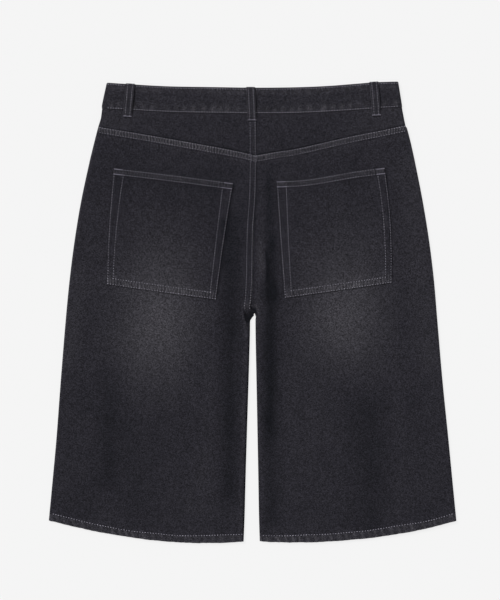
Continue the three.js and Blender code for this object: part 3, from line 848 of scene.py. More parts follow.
@dataclass
class Panel:
    """A panel of the back or front, from its turned side to its seam or inner leg."""

    side: Side
    name: str = "panel"
    node: str = ""
    spacing: float = 3.0
    lapped: bool = False
    floor: float = 0.0
    flat: tuple[float, float] = (0.3, 0.3)
    area: float = 0.05
    rests_on: tuple[str, ...] = ()

    def top(self, x: Array) -> Array:
        """Y of the top edge."""
        raise NotImplementedError

    def bottom(self, x: Array) -> Array:
        """Y of the bottom edge."""
        raise NotImplementedError

    def middle(self, y: Array) -> tuple[Array, Array, Array]:
        """Fold, roll and pit of the inner edge."""
        raise NotImplementedError

    def height(self, x: Array, y: Array, inset: float) -> Array:
        """Height of the plain surface."""
        raise NotImplementedError

    def join(self, y: Array) -> Array:
        """Height of the turned edge."""
        raise NotImplementedError

    def rows(self) -> tuple[Array, Array, Array]:
        """How far down each row is at the side and at the middle, and how raised it is."""
        raise NotImplementedError

    def relief(self, inset: float) -> float:
        """How high the extra layers rise on this face."""
        raise NotImplementedError

    def details(self, x: Array, y: Array) -> tuple[Array, Array]:
        """Height and fade of the outside's fine form."""
        raise NotImplementedError

    def rungs(self, x: Array, y: Array) -> Array:
        """How strongly narrow ridges show."""
        return 0 * x

    def grid(self, inset: float) -> tuple[Array, Array]:
        """Points of one face.

        Args:
            inset: 0 for the outside, the wall for the inside.

        Returns:
            Points, rows by columns by 3, and how much each faces up.
        """
        form, side = FORM, self.side
        side_down, middle_down, raised = self.rows()
        turns = np.linspace(0, 1, 7)
        laps = steps((form.lap, 0.95), (form.lap + form.step, 0.4))
        width = abs(float(form.side_x(side, np.array(self.bottom(np.array(200.0 * -side.inward))))))
        across = np.linspace(0, 1, math.ceil(width / self.spacing))[1:-1]
        seam_turns = np.linspace(1, 0, len(laps))
        lap_relief = mix(0.5, 1.0, smooth(laps, 0, 0.9)) * (1 - smooth(laps, form.lap, form.lap + form.step))
        turn = np.concatenate([turns, np.ones(len(across)), seam_turns])[None] * math.pi / 2
        kind = np.repeat([Edge.SIDE.value, Edge.ACROSS.value, Edge.SEAM.value],
                         [len(turns), len(across), len(laps)])[None]
        part = np.concatenate([np.zeros(len(turns)), across, np.ones(len(laps))])[None]
        step = np.concatenate([np.zeros(len(turns) + len(across)), laps[::-1]])[None]
        lap = np.concatenate([np.zeros(len(turns) + len(across)), lap_relief[::-1]])[None]
        down = mix(side_down[:, None], middle_down[:, None], part)
        rounded, turning = np.sin(turn), 1 - np.cos(turn)
        x = mix(form.side_x(side, self.top(np.array(0.0))), 0.0, part) + 0 * down
        for _ in range(8):
            y = mix(self.top(x), self.bottom(x), down)
            fold, roll, pit = self.middle(y)
            wall = inset * fold * (1 - pit)
            at_seam = form.inner_x(side, y) - side.inward * mix(step, wall + (roll - wall) * turning, fold)
            at_side = form.side_x(side, y) + side.inward * (inset + (form.side_roll - inset) * turning)
            outer_end = form.side_x(side, y) + side.inward * form.side_roll
            inner_end = form.inner_x(side, y) - side.inward * mix(form.lap + form.step, roll, fold)
            between = mix(outer_end, inner_end, part)
            x = np.choose(kind, [at_side, between, at_seam])
        surface = self.height(x, y, inset)
        turned = mix(self.join(y), surface, rounded)
        sunk = mix(self.floor - inset, surface, turning**3)
        seam_z = mix(surface, mix(turned, sunk, pit), fold)
        z = np.choose(kind, [turned, surface, seam_z])
        lifted = raised[:, None] * np.choose(kind, [rounded, 1 + 0 * rounded, mix(1, rounded, fold)])
        if self.lapped:
            lifted = np.maximum(lifted, np.where(kind == Edge.SEAM.value, lap * (1 - fold), 0))
        z = z + self.relief(inset) * lifted
        facing = np.choose(kind, [rounded, 1 + 0 * rounded, mix(1, rounded, fold)]) + 0 * x
        return np.stack([x, y, z], -1), facing

    def build(self, material: bpy.types.Material) -> bpy.types.Object:
        outer, facing = self.grid(0.0)
        inner, _ = self.grid(FORM.cloth)
        rise, fade = self.details(outer[..., 0], outer[..., 1])
        outer[..., 2] += rise * facing
        piece = shell(self.name, outer, inner, material, fade, self.rungs(outer[..., 0], outer[..., 1]))
        finish_piece(piece, self.node)
        return piece


def finish_piece(piece: bpy.types.Object, node: str) -> None:
    """Let a piece ride on the shorts and stand for its node."""
    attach(piece, "root")
    if node:
        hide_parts(node)
    LOG.info("%s: %d faces", piece.name, len(piece.data.polygons))


def seam_line(away: Array, spread: float = 1.3) -> Array:
    """Narrow groove that a row of stitches draws in."""
    return -0.22 * bell(away, spread)


@dataclass
class BackFace(Panel):
    """A panel of the back, which lies over the front with its folds."""

    def height(self, x: Array, y: Array, inset: float) -> Array:
        """The folded back."""
        return FORM.back_z(x, y) - inset

    def join(self, y: Array) -> Array:
        """Just above the side seam."""
        return FORM.side_join(self.side, y) + FORM.seam_gap / 2

    def relief(self, inset: float) -> float:
        """Extra layers show on the outside."""
        return FORM.lap_rise if inset == 0 else 0.0


@dataclass
class BackPanel(BackFace):
    """Back of one leg and half of the seat."""

    spacing: float = 1.55
    flat: tuple[float, float] = (0.31, 0.63)
    area: float = 0.168

    def __post_init__(self) -> None:
        """Name the piece for its side."""
        self.name = f"back_panel_{self.side.value}_cloth"
        self.node = f"back_panel_{self.side.value}"
        self.lapped = self.side is Side.LEFT
        self.floor = 2 * FORM.cloth + FORM.seam_gap
        self.rests_on = (f"front_panel_{self.side.value}_cloth",)

    def top(self, x: Array) -> Array:
        """The lapped yoke seam."""
        return FORM.yoke_y(x)

    def bottom(self, x: Array) -> Array:
        """The hem, a little scalloped between its stitches."""
        scallop = 0.35 * Wander(31, 9).line(x) + 0.3 * Puckers(9.5, 33).at(x)
        return FORM.hem_y(x) - scallop

    def middle(self, y: Array) -> tuple[Array, Array, Array]:
        """As at the crotch."""
        return FORM.crotch(self.side, y)

    def rows(self) -> tuple[Array, Array, Array]:
        """Close rows in the lap, at the crotch and in the hem."""
        form = FORM
        top, bottom = float(form.yoke_y(np.array(0.0))), float(form.hem_y(np.array(13.0)))
        length = top - bottom
        lap_end = form.lap + form.step
        hem_start = length - form.hem - form.step
        middle = steps((1.2, 0.4), (form.lap, 0.9), (lap_end, 0.4), (26, 2.2), (top - 14, 4.4),
                       (top + 32, 1.5), (hem_start - 14, 4.6), (hem_start, 2), (hem_start + form.step, 0.4),
                       (length - 1.2, 1.1), (length, 0.4))
        between = (middle > lap_end) & (middle < hem_start)
        side = middle.copy()
        side[between] = np.linspace(lap_end, hem_start, between.sum() + 2)[1:-1]
        raised = mix(0.5, 1.0, smooth(middle, 0, 0.9)) * (1 - smooth(middle, form.lap, lap_end))
        rolled = mix(1, 0.4, smooth(middle, length - 0.8, length))
        raised += smooth(middle, hem_start, hem_start + form.step) * rolled
        return side / length, middle / length, raised

    def details(self, x: Array, y: Array) -> tuple[Array, Array]:
        """Wash, creases, and puckers at the yoke, the seat seam and the hem, with painted shade and
        highlights at the crotch, beside the seat seam and by the inner leg.
        """
        rise, fade = WASH.ground(x, y)
        for rise_part, fade_part in (self.lap_details(x, y), self.seat_details(x, y), self.hem_details(x, y),
                                     self.edge_details(x, y), CROTCH.details(self.side, x, y)):
            rise = rise + rise_part
            fade = fade + fade_part
        return rise, np.maximum(fade, 0.0)

    def rungs(self, x: Array, y: Array) -> Array:
        """Ladder of pale ridges between the rows of the yoke seam, dying away below them."""
        away = FORM.yoke_y(x) - y
        strong = 1 + 0.45 * bell(x + 100, 60) + 0.25 * Wander(42, 25).line(x)
        inside = band(away, 1.0, 7.4, 0.8)
        below = smooth(away, 7, 9) * (1 - smooth(away, 9, 20))
        return strong * (0.3 * inside + 0.05 * below)

    def lap_details(self, x: Array, y: Array) -> tuple[Array, Array]:
        """Grooves of the yoke seam's rows, the lap's worn edge, and the shade under it."""
        away = FORM.yoke_y(x) - y
        puckers = Puckers(6.0, 41, 2.0).at(x + 0.2 * away)
        inside = band(away, 1.4, 6.6, 0.8)
        below = smooth(away, 6, 9) * (1 - smooth(away, 9, 24))
        rise = 0.3 * (puckers - 0.4) * inside + 0.2 * (puckers - 0.4) * below
        rise += seam_line(away - 1.0, 0.7) + seam_line(away - 8.2, 0.9)
        fade = 0.012 * inside + 0.03 * puckers * below + 0.08 * bell(away + 0.1, 0.8)
        return rise, fade - 0.03 * bell(away - 9.4, 0.9)

    def seat_details(self, x: Array, y: Array) -> tuple[Array, Array]:
        """Bars between the rows of the seat seam, on the panel that laps over, and a painted shadow beside
        the seam on the other panel.
        """
        away = FORM.seat_seam.curve("y", "x", y) - x
        sewn = smooth(y, 8, 14)
        bars = Puckers(6.8, 43).at(y)
        if self.side is Side.RIGHT:
            # Painted shadow on the right panel beside the lapped seat seam
            return 0 * x, -0.03 * bell(away + 1.5, 1.5) * sewn
        inside = band(away, 2.2, 7.2, 0.9)
        rise = 0.2 * (bars - 0.4) * inside + seam_line(away - 1.5, 0.7) + seam_line(away - 9.0, 0.8)
        fade = 0.05 * bell(away - 0.6, 0.9) + inside * (0.03 * bars - 0.004)
        return rise * sewn, fade * sewn

    def hem_details(self, x: Array, y: Array) -> tuple[Array, Array]:
        """Slanting pale streaks across the hem."""
        away = y - FORM.hem_y(x)
        row = FORM.by_leg(FORM.hem_row, x)
        streak = Puckers(11.5, 47, 3.0).at(x + 0.35 * y)
        inside = 1 - smooth(away, row - 1.5, row + 0.3)
        above = smooth(away, row, row + 1) * (1 - smooth(away, row + 1, row + 10))
        rise = 0.35 * (streak - 0.25) * inside + 0.16 * (streak - 0.25) * above + seam_line(away - row, 0.9)
        fade = inside * (0.05 + 0.2 * streak) + 0.035 * streak * above + 0.06 * bell(away, 1.3)
        return rise, fade

    def edge_details(self, x: Array, y: Array) -> tuple[Array, Array]:
        """Paler along the side, and by the inner leg painted shade on the turned edge with a painted
        highlight on the strip beside it.
        """
        from_side = np.abs(x - FORM.side_x(self.side, y))
        from_inner = np.abs(x - FORM.inner_x(self.side, y))
        leg = smooth(-y, 0, 30)
        fade = 0.05 * bell(from_side, 3.5) * smooth(y, -200, 100) + 0.03 * bell(from_side, 1.5)
        if self.side is Side.LEFT:
            # Painted highlight on the ridge beside the inner leg, and painted shade on its turned edge
            fade = fade + leg * (0.03 * bell(from_inner - 6, 3) - 0.09 * bell(from_inner, 1.9))
            return -0.25 * leg * bell(from_inner - 1, 1.5), fade
        # Painted highlight on the strip beside the right inner leg, and painted shade on its turned edge
        return 0 * x, fade + leg * (0.02 * bell(from_inner - 4, 4) - 0.03 * bell(from_inner, 0.9))


@dataclass
class Yoke(BackFace):
    """Half of the yoke, between the waistband and the back panels."""

    spacing: float = 1.9
    flat: tuple[float, float] = (0.25, 0.085)
    area: float = 0.0125

    def __post_init__(self) -> None:
        """Name the piece for its side."""
        self.name = f"yoke_{self.side.value}_cloth"
        self.node = f"yoke_{self.side.value}"
        self.lapped = self.side is Side.LEFT
        self.rests_on = (f"front_panel_{self.side.value}_cloth",)

    def top(self, x: Array) -> Array:
        """Under the waistband."""
        return FORM.band_y(x, "bottom") - FORM.seam_gap

    def bottom(self, x: Array) -> Array:
        """At the lapped yoke seam."""
        return FORM.yoke_y(x) + FORM.seam_gap

    def middle(self, y: Array) -> tuple[Array, Array, Array]:
        """Flat all along the seat seam."""
        return 0 * y, 0 * y + FORM.side_roll, 0 * y

    def rows(self) -> tuple[Array, Array, Array]:
        """Even rows."""
        down = np.linspace(0, 1, 34)
        return down, down, 0 * down

    def details(self, x: Array, y: Array) -> tuple[Array, Array]:
        """Wash, puckers below the waistband and along the seat seam, and painted shade in the crevice along
        the yoke seam.
        """
        rise, fade = WASH.ground(x, y)
        fade += 0.006
        from_band = FORM.band_y(x, "bottom") - y
        tucks = Puckers(9.0, 53).at(x)
        near = 1 - smooth(from_band, 0, 14)
        rise += 0.2 * (tucks - 0.4) * near
        fade += 0.03 * tucks * near + 0.03 * smooth(np.abs(x), 120, 215)
        from_yoke = y - FORM.yoke_y(x)
        # Painted shade in the crevice just above the lapped yoke seam
        fade -= 0.035 * bell(from_yoke - 0.8, 1.5)
        rise -= 0.25 * bell(from_yoke, 2.5)
        if self.side is Side.LEFT:
            from_seat = FORM.seat_seam.curve("y", "x", y) - x
            bars = Puckers(6.8, 43).at(y)
            in_seam = band(from_seat, 2.2, 7.2, 0.9)
            rise += 0.2 * (bars - 0.4) * in_seam
            rise += seam_line(from_seat - 1.5, 0.7) + seam_line(from_seat - 9.0, 0.8)
            fade += 0.05 * bell(from_seat - 0.6, 0.9) + in_seam * (0.008 + 0.03 * bars)
        return rise, np.maximum(fade, 0.004)


@dataclass
class FrontPanel(Panel):
    """Front of one leg, which lies on the surface, finished plainly."""

    spacing: float = 2.8
    flat: tuple[float, float] = (0.31, 0.65)
    area: float = 0.172

    def __post_init__(self) -> None:
        """Name the piece for its side."""
        self.name = f"front_panel_{self.side.value}_cloth"
        self.node = f"front_panel_{self.side.value}"

    def top(self, x: Array) -> Array:
        """Under the waistband at the front."""
        return FORM.band_y(x, "bottom") - FORM.dip(x) - FORM.seam_gap

    def bottom(self, x: Array) -> Array:
        """A little inside the back hem."""
        return FORM.hem_y(x) + 1

    def middle(self, y: Array) -> tuple[Array, Array, Array]:
        """Turned where the back isn't dropped on it."""
        _, _, pit = FORM.crotch(self.side, y)
        return 1 - pit, 0 * y + FORM.side_roll, 0 * y

    def height(self, x: Array, y: Array, inset: float) -> Array:
        """On the surface, lifted at the waist."""
        return FORM.front_z(y) + inset

    def join(self, y: Array) -> Array:
        """Just below the side seam."""
        return FORM.side_join(self.side, y) - FORM.seam_gap / 2

    def rows(self) -> tuple[Array, Array, Array]:
        """Even rows, closer at the crotch and in the hem."""
        form = FORM
        top = float(form.band_y(np.array(0.0), "bottom")) - form.front_dip
        length = top - float(form.hem_y(np.array(13.0)))
        hem_start = length - form.hem - form.step
        middle = steps((top - 10, 4.5), (top + 32, 2), (hem_start, 5), (hem_start + form.step, 0.6),
                       (length - 0.8, 2), (length, 0.4))
        rolled = mix(1, 0.4, smooth(middle, length - 0.8, length))
        raised = smooth(middle, hem_start, hem_start + form.step) * rolled
        return middle / length, middle / length, raised

    def relief(self, inset: float) -> float:
        """The hem's extra layers lie on the inside, so the outside stays flat."""
        return 0.0 if inset == 0 else 0.8

    def details(self, x: Array, y: Array) -> tuple[Array, Array]:
        """The same wash as the back, and grooves where it is sewn."""
        fade = WASH.base + 0.008 * Wander(63, 36).field(x, y)
        fade = fade + 0.15 * bell(np.hypot((np.abs(x) - 132) / 70, (y + 30) / 85), 1)
        from_hem = y - FORM.hem_y(x) - 1
        streak = Puckers(11.0, 67, 3.0).at(x - 0.3 * y)
        in_hem = 1 - smooth(from_hem, 8.5, 10.5)
        fade += in_hem * (0.035 + 0.1 * streak) + 0.05 * bell(from_hem, 1.3)
        from_band = FORM.band_y(x, "bottom") - FORM.dip(x) - y
        fade += 0.03 * Puckers(10.0, 69).at(x) * (1 - smooth(from_band, 0, 14))
        rise = 0.16 * bell(from_hem - 10, 1.6) + 0.1 * (1 - streak) * in_hem
        return rise, np.maximum(fade, 0.004)


@dataclass
class Waistband:
    """One strip of two layers, from its left end at the fly round the back to its right end under it."""

    spacing: float = 1.6
    slope: float = 34
    flat: tuple[float, float] = (0.9, 0.088)

    def stations(self) -> list[dict[str, float]]:
        """Places round the waist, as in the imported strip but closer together."""
        form = FORM
        level = form.waistband.rows[0][1]
        start = self.slope / float(form.side_x(Side.RIGHT, np.array(level)))
        runs = np.linspace(start, 1, 110)
        turns = np.linspace(-1, 1, 11)[1:-1]
        lap = form.band_wall + form.seam_gap
        places = [{"front": x} for x in np.linspace(form.lap_end_left, -10, 12)]
        places += [{"side": -1, "part": part} for part in runs]
        places += [{"side": -1, "turn": turn} for turn in turns]
        places += [{"back": part} for part in np.linspace(0, 1, 270)]
        places += [{"side": 1, "turn": turn} for turn in turns[::-1]]
        places += [{"side": 1, "part": part} for part in runs[::-1]]
        places += [{"front": x, "up": lap} for x in np.linspace(20, form.lap_end_right, 14)]
        return places

    def grid(self, inset: float) -> tuple[Array, Array, Array, Array]:
        """Points of one face.

        Args:
            inset: 0 for the outside, the wall for the inside.

        Returns:
            Points, distance below the top edge, sign of the outward Z, and how flat each lies.
        """
        form = FORM
        tall = form.band_height
        downs = steps((0.4, 0.2), (1.2, 0.4), (tall - 1, 1.35), (tall, 0.5)) / tall
        if inset:
            sunk = 0 * downs
        else:
            sunk = 0.7 * (1 - smooth(downs * tall, 0, 1.3)) + 0.5 * smooth(downs * tall, tall - 0.8, tall)
        points, facing, flatness = [], [], []
        for down, sink in zip(downs, sunk):
            level = mix(form.waistband.rows[0][1], form.waistband.rows[0][2], down)
            row, signs, flats = [], [], []
            for station in self.stations():
                side = Side.RIGHT if station.get("side", 1) > 0 else Side.LEFT
                ends = {s: float(form.side_x(s, np.array(level))) + s.inward * form.side_roll for s in Side}
                x = station.get("front", 0.0)
                if "back" in station:
                    x = mix(ends[Side.LEFT], ends[Side.RIGHT], station["back"])
                if "part" in station:
                    x = ends[side] * station["part"]
                if "turn" in station:
                    bulge = (form.side_roll - inset - sink) * math.cos(station["turn"] * math.pi / 2)
                    x = ends[side] - side.inward * bulge
                at = np.array(x)
                behind = "back" in station or "turn" in station
                dip = 0.0 if behind else float(form.dip(at))
                y = float(mix(form.band_y(at, "top"), form.band_y(at, "bottom"), down)) - dip
                low = form.front_lift + inset + sink + station.get("up", 0.0)
                high = form.band_top + float(form.fly_z(at, np.array(form.lift_end))) - inset - sink
                lean = math.sin(station.get("turn", 0.0) * math.pi / 2)
                z = low
                if "back" in station:
                    z = high
                if "turn" in station:
                    z = mix(low, high, (1 + lean) / 2)
                row.append((x, y, z))
                signs.append(1.0 if "back" in station else lean if behind else -1.0)
                flats.append(0.0 if "turn" in station else 1.0)
            points.append(row)
            facing.append(signs)
            flatness.append(flats)
        return np.array(points), tall * downs[:, None], np.array(facing), np.array(flatness)

    def details(self, x: Array, down: Array, behind: Array) -> tuple[Array, Array]:
        """Puckers along both edges, pale where they stand up, and soft grooves lengthwise with painted shade
        in them.

        Args:
            x: place across.
            down: distance below the top edge.
            behind: 1 at the back, -1 at the front.

        Returns:
            Height and fade.
        """
        place = x + np.where(behind > 0, 0, 700)
        lower = Puckers(13.5, 71, 1.1).at(place + 0.25 * down)
        upper = Puckers(16.0, 73, 1.1).at(place - 0.2 * down)
        in_lower = band(down, 27.5, 35.8, 2.4)
        in_upper = band(down, 2.5, 10, 3.0)
        fold = Wander(75, 60).line(place)
        rise = 0.4 * (lower - 0.45) * in_lower + 0.3 * (upper - 0.45) * in_upper
        rise = rise - 0.16 * bell(down - 13 - 1.5 * fold, 1.6) - 0.14 * bell(down - 21.5 + 2 * fold, 2.2)
        rise = rise + seam_line(down - 35.8, 0.8) + seam_line(down - 2.3, 0.7)
        fade = 0.108 + 0.012 * Wander(76, 30).field(place, down) + 0.02 * Wander(77, 5).field(place, 3 * down)
        fade = fade + in_lower * (0.17 * lower - 0.02) + in_upper * (0.015 + 0.09 * upper)
        # Painted shade in the two lengthwise grooves
        fade = fade - 0.022 * bell(down - 13 - 1.5 * fold, 2) - 0.02 * bell(down - 22 + 2 * fold, 3)
        fade = fade + 0.06 * bell(down, 0.9) + 0.03 * bell(down - 37.4, 0.7)
        return rise, np.maximum(fade, 0.004)

    def build(self, material: bpy.types.Material) -> bpy.types.Object:
        outer, down, behind, flatness = self.grid(0.0)
        inner, _, _, _ = self.grid(FORM.band_wall)
        rise, fade = self.details(outer[..., 0], down + 0 * behind, behind)
        front = np.where(behind < 0, np.minimum(rise, 0.15), rise)
        outer[..., 2] += front * flatness * np.sign(behind)
        piece = shell("waistband_cloth", outer, inner, material, fade)
        finish_piece(piece, "waistband")
        return piece


@dataclass
class BackPocket:
    """Patch pocket, hemmed along its mouth and sewn down with two rows."""

    side: Side
    corners: Table = Table("side down x y", (
        (-1, 0, -203.8, 212.2),
        (-1, 0, -28.2, 190.2),
        (-1, 1, -214.1, 40.8),
        (-1, 1, -53.8, 18.4),
        (1, 0, 34.6, 193.1),
        (1, 0, 193.9, 212.9),
        (1, 1, 46.9, 20.7),
        (1, 1, 204.1, 43.1),
    ))
    bows: Table = Table("side top right bottom left sway", (
        (-1, 0.6, -1, 0.4, 2.3, 0),
        (1, -1.9, 4.5, 0.2, 0.4, 1.5),
    ))
    # How far the inner rows lie from the left and right edge, at the mouth and at the bottom
    insets: Table = Table("side left_top left_low right_top right_low", (
        (-1, 15.6, 10, 15, 10.6),
        (1, 14.6, 10.6, 12, 9.6),
    ))
    spacing: float = 1.5
    inset_outer: float = 1.5
    tack: float = 13
    hem_rows: tuple[float, float] = (1.6, 9.0)
    bottom_row: float = 9.9

    @property
    def _sign(self) -> int:
        return -self.side.inward

    def _own(self, table: Table, column: str) -> float:
        return next(row[column] for row in table.records() if row["side"] == self._sign)

    def _corner(self, number: int) -> Array:
        rows = [row for row in self.corners.rows if row[0] == self._sign]
        return np.array(rows[number][2:])

    def place(self, across: Array, down: Array) -> Array:
        """X and Y of a place on the pocket.

        Args:
            across: 0 at its left edge, 1 at its right.
            down: 0 at its mouth, 1 at its bottom.

        Returns:
            X and Y in a last axis of 2.
        """
        top_left, top_right, low_left, low_right = (self._corner(i) for i in range(4))

        def bowed(a: Array, b: Array, bow: float, t: Array) -> Array:
            """Point on an edge that bows to its left, looking from a to b."""
            out = 4 * t * (1 - t) * bow / np.hypot(*(b - a))
            return a + (b - a) * t[..., None] + out[..., None] * np.array([a[1] - b[1], b[0] - a[0]])

        top = bowed(top_left, top_right, self._own(self.bows, "top"), across)
        bottom = bowed(low_left, low_right, -self._own(self.bows, "bottom"), across)
        top[..., 1] -= self._own(self.bows, "sway") * np.sin(2 * math.pi * across)
        left = bowed(low_left, top_left, self._own(self.bows, "left"), 1 - down)
        right = bowed(low_right, top_right, -self._own(self.bows, "right"), 1 - down)
        a, d = across[..., None], down[..., None]
        flat = mix(mix(top_left, top_right, a), mix(low_left, low_right, a), d)
        return mix(top, bottom, d) + mix(left, right, a) - flat

    def size(self) -> tuple[float, float]:
        """Width and height."""
        top_left, top_right, low_left, _ = (self._corner(i) for i in range(4))
        return float(np.hypot(*(top_right - top_left))), float(np.hypot(*(top_left - low_left)))

    def inner_inset(self, edge: str, down: Array) -> Array:
        """How far the inner row lies from the left or right edge."""
        part = 1 - (1 - np.clip(down, 0, 1)) ** 1.6
        return mix(self._own(self.insets, f"{edge}_top"), self._own(self.insets, f"{edge}_low"), part)

    def details(self, across: Array, down: Array, xy: Array) -> tuple[Array, Array]:
        """Puckers in the hem and turned edges, the wash, and painted shadow below the mouth's hem.

        Args:
            across, down: place on the pocket.
            xy: the same place in the garment.

        Returns:
            Height and fade.
        """
        width, height = self.size()
        x, y = xy[..., 0], xy[..., 1]
        rise, fade = WASH.ground(x, y)
        seed = 80 + self._sign
        from_top, from_bottom = down * height, (1 - down) * height
        rungs = Puckers(6.6, seed, 1.6).at(x)
        in_top = band(from_top, 2.4, 8.2, 0.8)
        rise += 0.7 * (1 - smooth(from_top, 10, 11.2)) + 0.36 * (rungs - 0.4) * in_top
        rise += seam_line(from_top - self.hem_rows[0], 0.7) + seam_line(from_top - self.hem_rows[1], 0.8)
        fade += 0.04 * in_top * rungs + 0.05 * bell(from_top, 1.0)
        # Painted shadow where the pocket dips below its mouth's hem
        fade -= 0.03 * bell(from_top - 12, 1.8)
        mottle = Puckers(6.2, seed + 3, 1.5).at(x + 0.8 * Wander(seed, 5).line(y))
        in_low = band(from_bottom, 1.0, 8.6, 1.2)
        above = smooth(from_bottom, 8, 10) * (1 - smooth(from_bottom, 10, 28))
        rise += 0.36 * (mottle - 0.4) * in_low + 0.12 * (mottle - 0.4) * above
        rise += seam_line(from_bottom - self.bottom_row, 0.8)
        fade += in_low * (0.1 * mottle - 0.02) + 0.05 * mottle * above + 0.09 * bell(from_bottom, 1.0)
        below_hem = smooth(from_top, 10, 14)
        for edge, away in (("left", across * width), ("right", (1 - across) * width)):
            inset = self.inner_inset(edge, down)
            bars = Puckers(7.4, seed + 6, 1.4).at(y + (0 if edge == "left" else 500))
            inside = band(away, 2.2, inset - 1.6, 1.2) * below_hem
            rise += 0.18 * (bars - 0.4) * inside
            rise += (seam_line(away - self.inset_outer, 0.7) + seam_line(away - inset, 0.8)) * below_hem
            fade += inside * (0.05 * bars - 0.016) + 0.04 * bell(away, 1.0)
        from_side = np.minimum(across, 1 - across) * width
        rim = np.minimum(np.minimum(from_top, from_bottom), from_side)
        rise -= 0.75 * (1 - smooth(rim, 0, 1.1)) ** 2
        return rise, np.maximum(fade, 0.0)

    def rungs(self, down: Array) -> Array:
        """How strongly the ladders show in the mouth's hem and along the bottom."""
        _, height = self.size()
        from_top, from_bottom = down * height, (1 - down) * height
        tail = smooth(from_bottom, 8, 10) * (1 - smooth(from_bottom, 10, 22))
        return 0.16 * band(from_top, 2.2, 8.4, 0.7) + 0.2 * band(from_bottom, 1.2, 8.8, 1.0) + 0.05 * tail

    def build(self, material: bpy.types.Material) -> bpy.types.Object:
        width, height = self.size()
        across = steps((1.2, 0.4), (width - 1.2, self.spacing), (width, 0.4)) / width
        down = steps((1.2, 0.4), (height - 1.2, self.spacing), (height, 0.4)) / height
        down, across = np.meshgrid(down, across, indexing="ij")
        xy = self.place(across, down)
        ground = FORM.back_z(xy[..., 0], xy[..., 1]) + FORM.laid_gap
        rise, fade = self.details(across, down, xy)
        outer = np.dstack([xy, ground + FORM.cloth + rise])
        inner = np.dstack([xy, ground])
        name = self.side.value
        piece = shell(f"back_pocket_{name}_cloth", outer, inner, material, fade, self.rungs(down))
        finish_piece(piece, f"back_pocket_{name}")
        return piece

    def rows(self) -> list[Array]:
        """Stitch rows as X and Y paths: mouth, both sides, bottom."""
        width, height = self.size()
        t = np.linspace(0, 1, 120)
        ends = mix(self.inset_outer / width, 1 - self.inset_outer / width, t)
        paths = [self.place(ends, 0 * t + row / height) for row in self.hem_rows]
        down = mix(self.hem_rows[1] / height, 1 - self.inset_outer / height, t)
        paths += [self.place(0 * t + self.inset_outer / width, down)]
        paths += [self.place(1 - self.inset_outer / width + 0 * t, down)]
        inner_down = mix(self.hem_rows[1] / height, 1 - self.bottom_row / height, t)
        paths += [self.place(self.inner_inset("left", inner_down) / width, inner_down)]
        paths += [self.place(1 - self.inner_inset("right", inner_down) / width, inner_down)]
        paths += [self.place(ends, 1 + 0 * t - self.inset_outer / height)]
        low = [self._own(self.insets, column) / width for column in ("left_low", "right_low")]
        paths += [self.place(mix(low[0], 1 - low[1], t), 1 + 0 * t - self.bottom_row / height)]
        return paths

    def tacks(self) -> list[Array]:
        """Bartack lines at both ends of the mouth's rows."""
        width, height = self.size()
        t = np.linspace(0, 1, 20)
        paths = []
        for row in self.hem_rows:
            start, end = 1.0 / width, self.tack / width
            paths.append(self.place(mix(start, end, t), 0 * t + row / height))
            paths.append(self.place(mix(1 - end, 1 - start, t), 0 * t + row / height))
        return paths


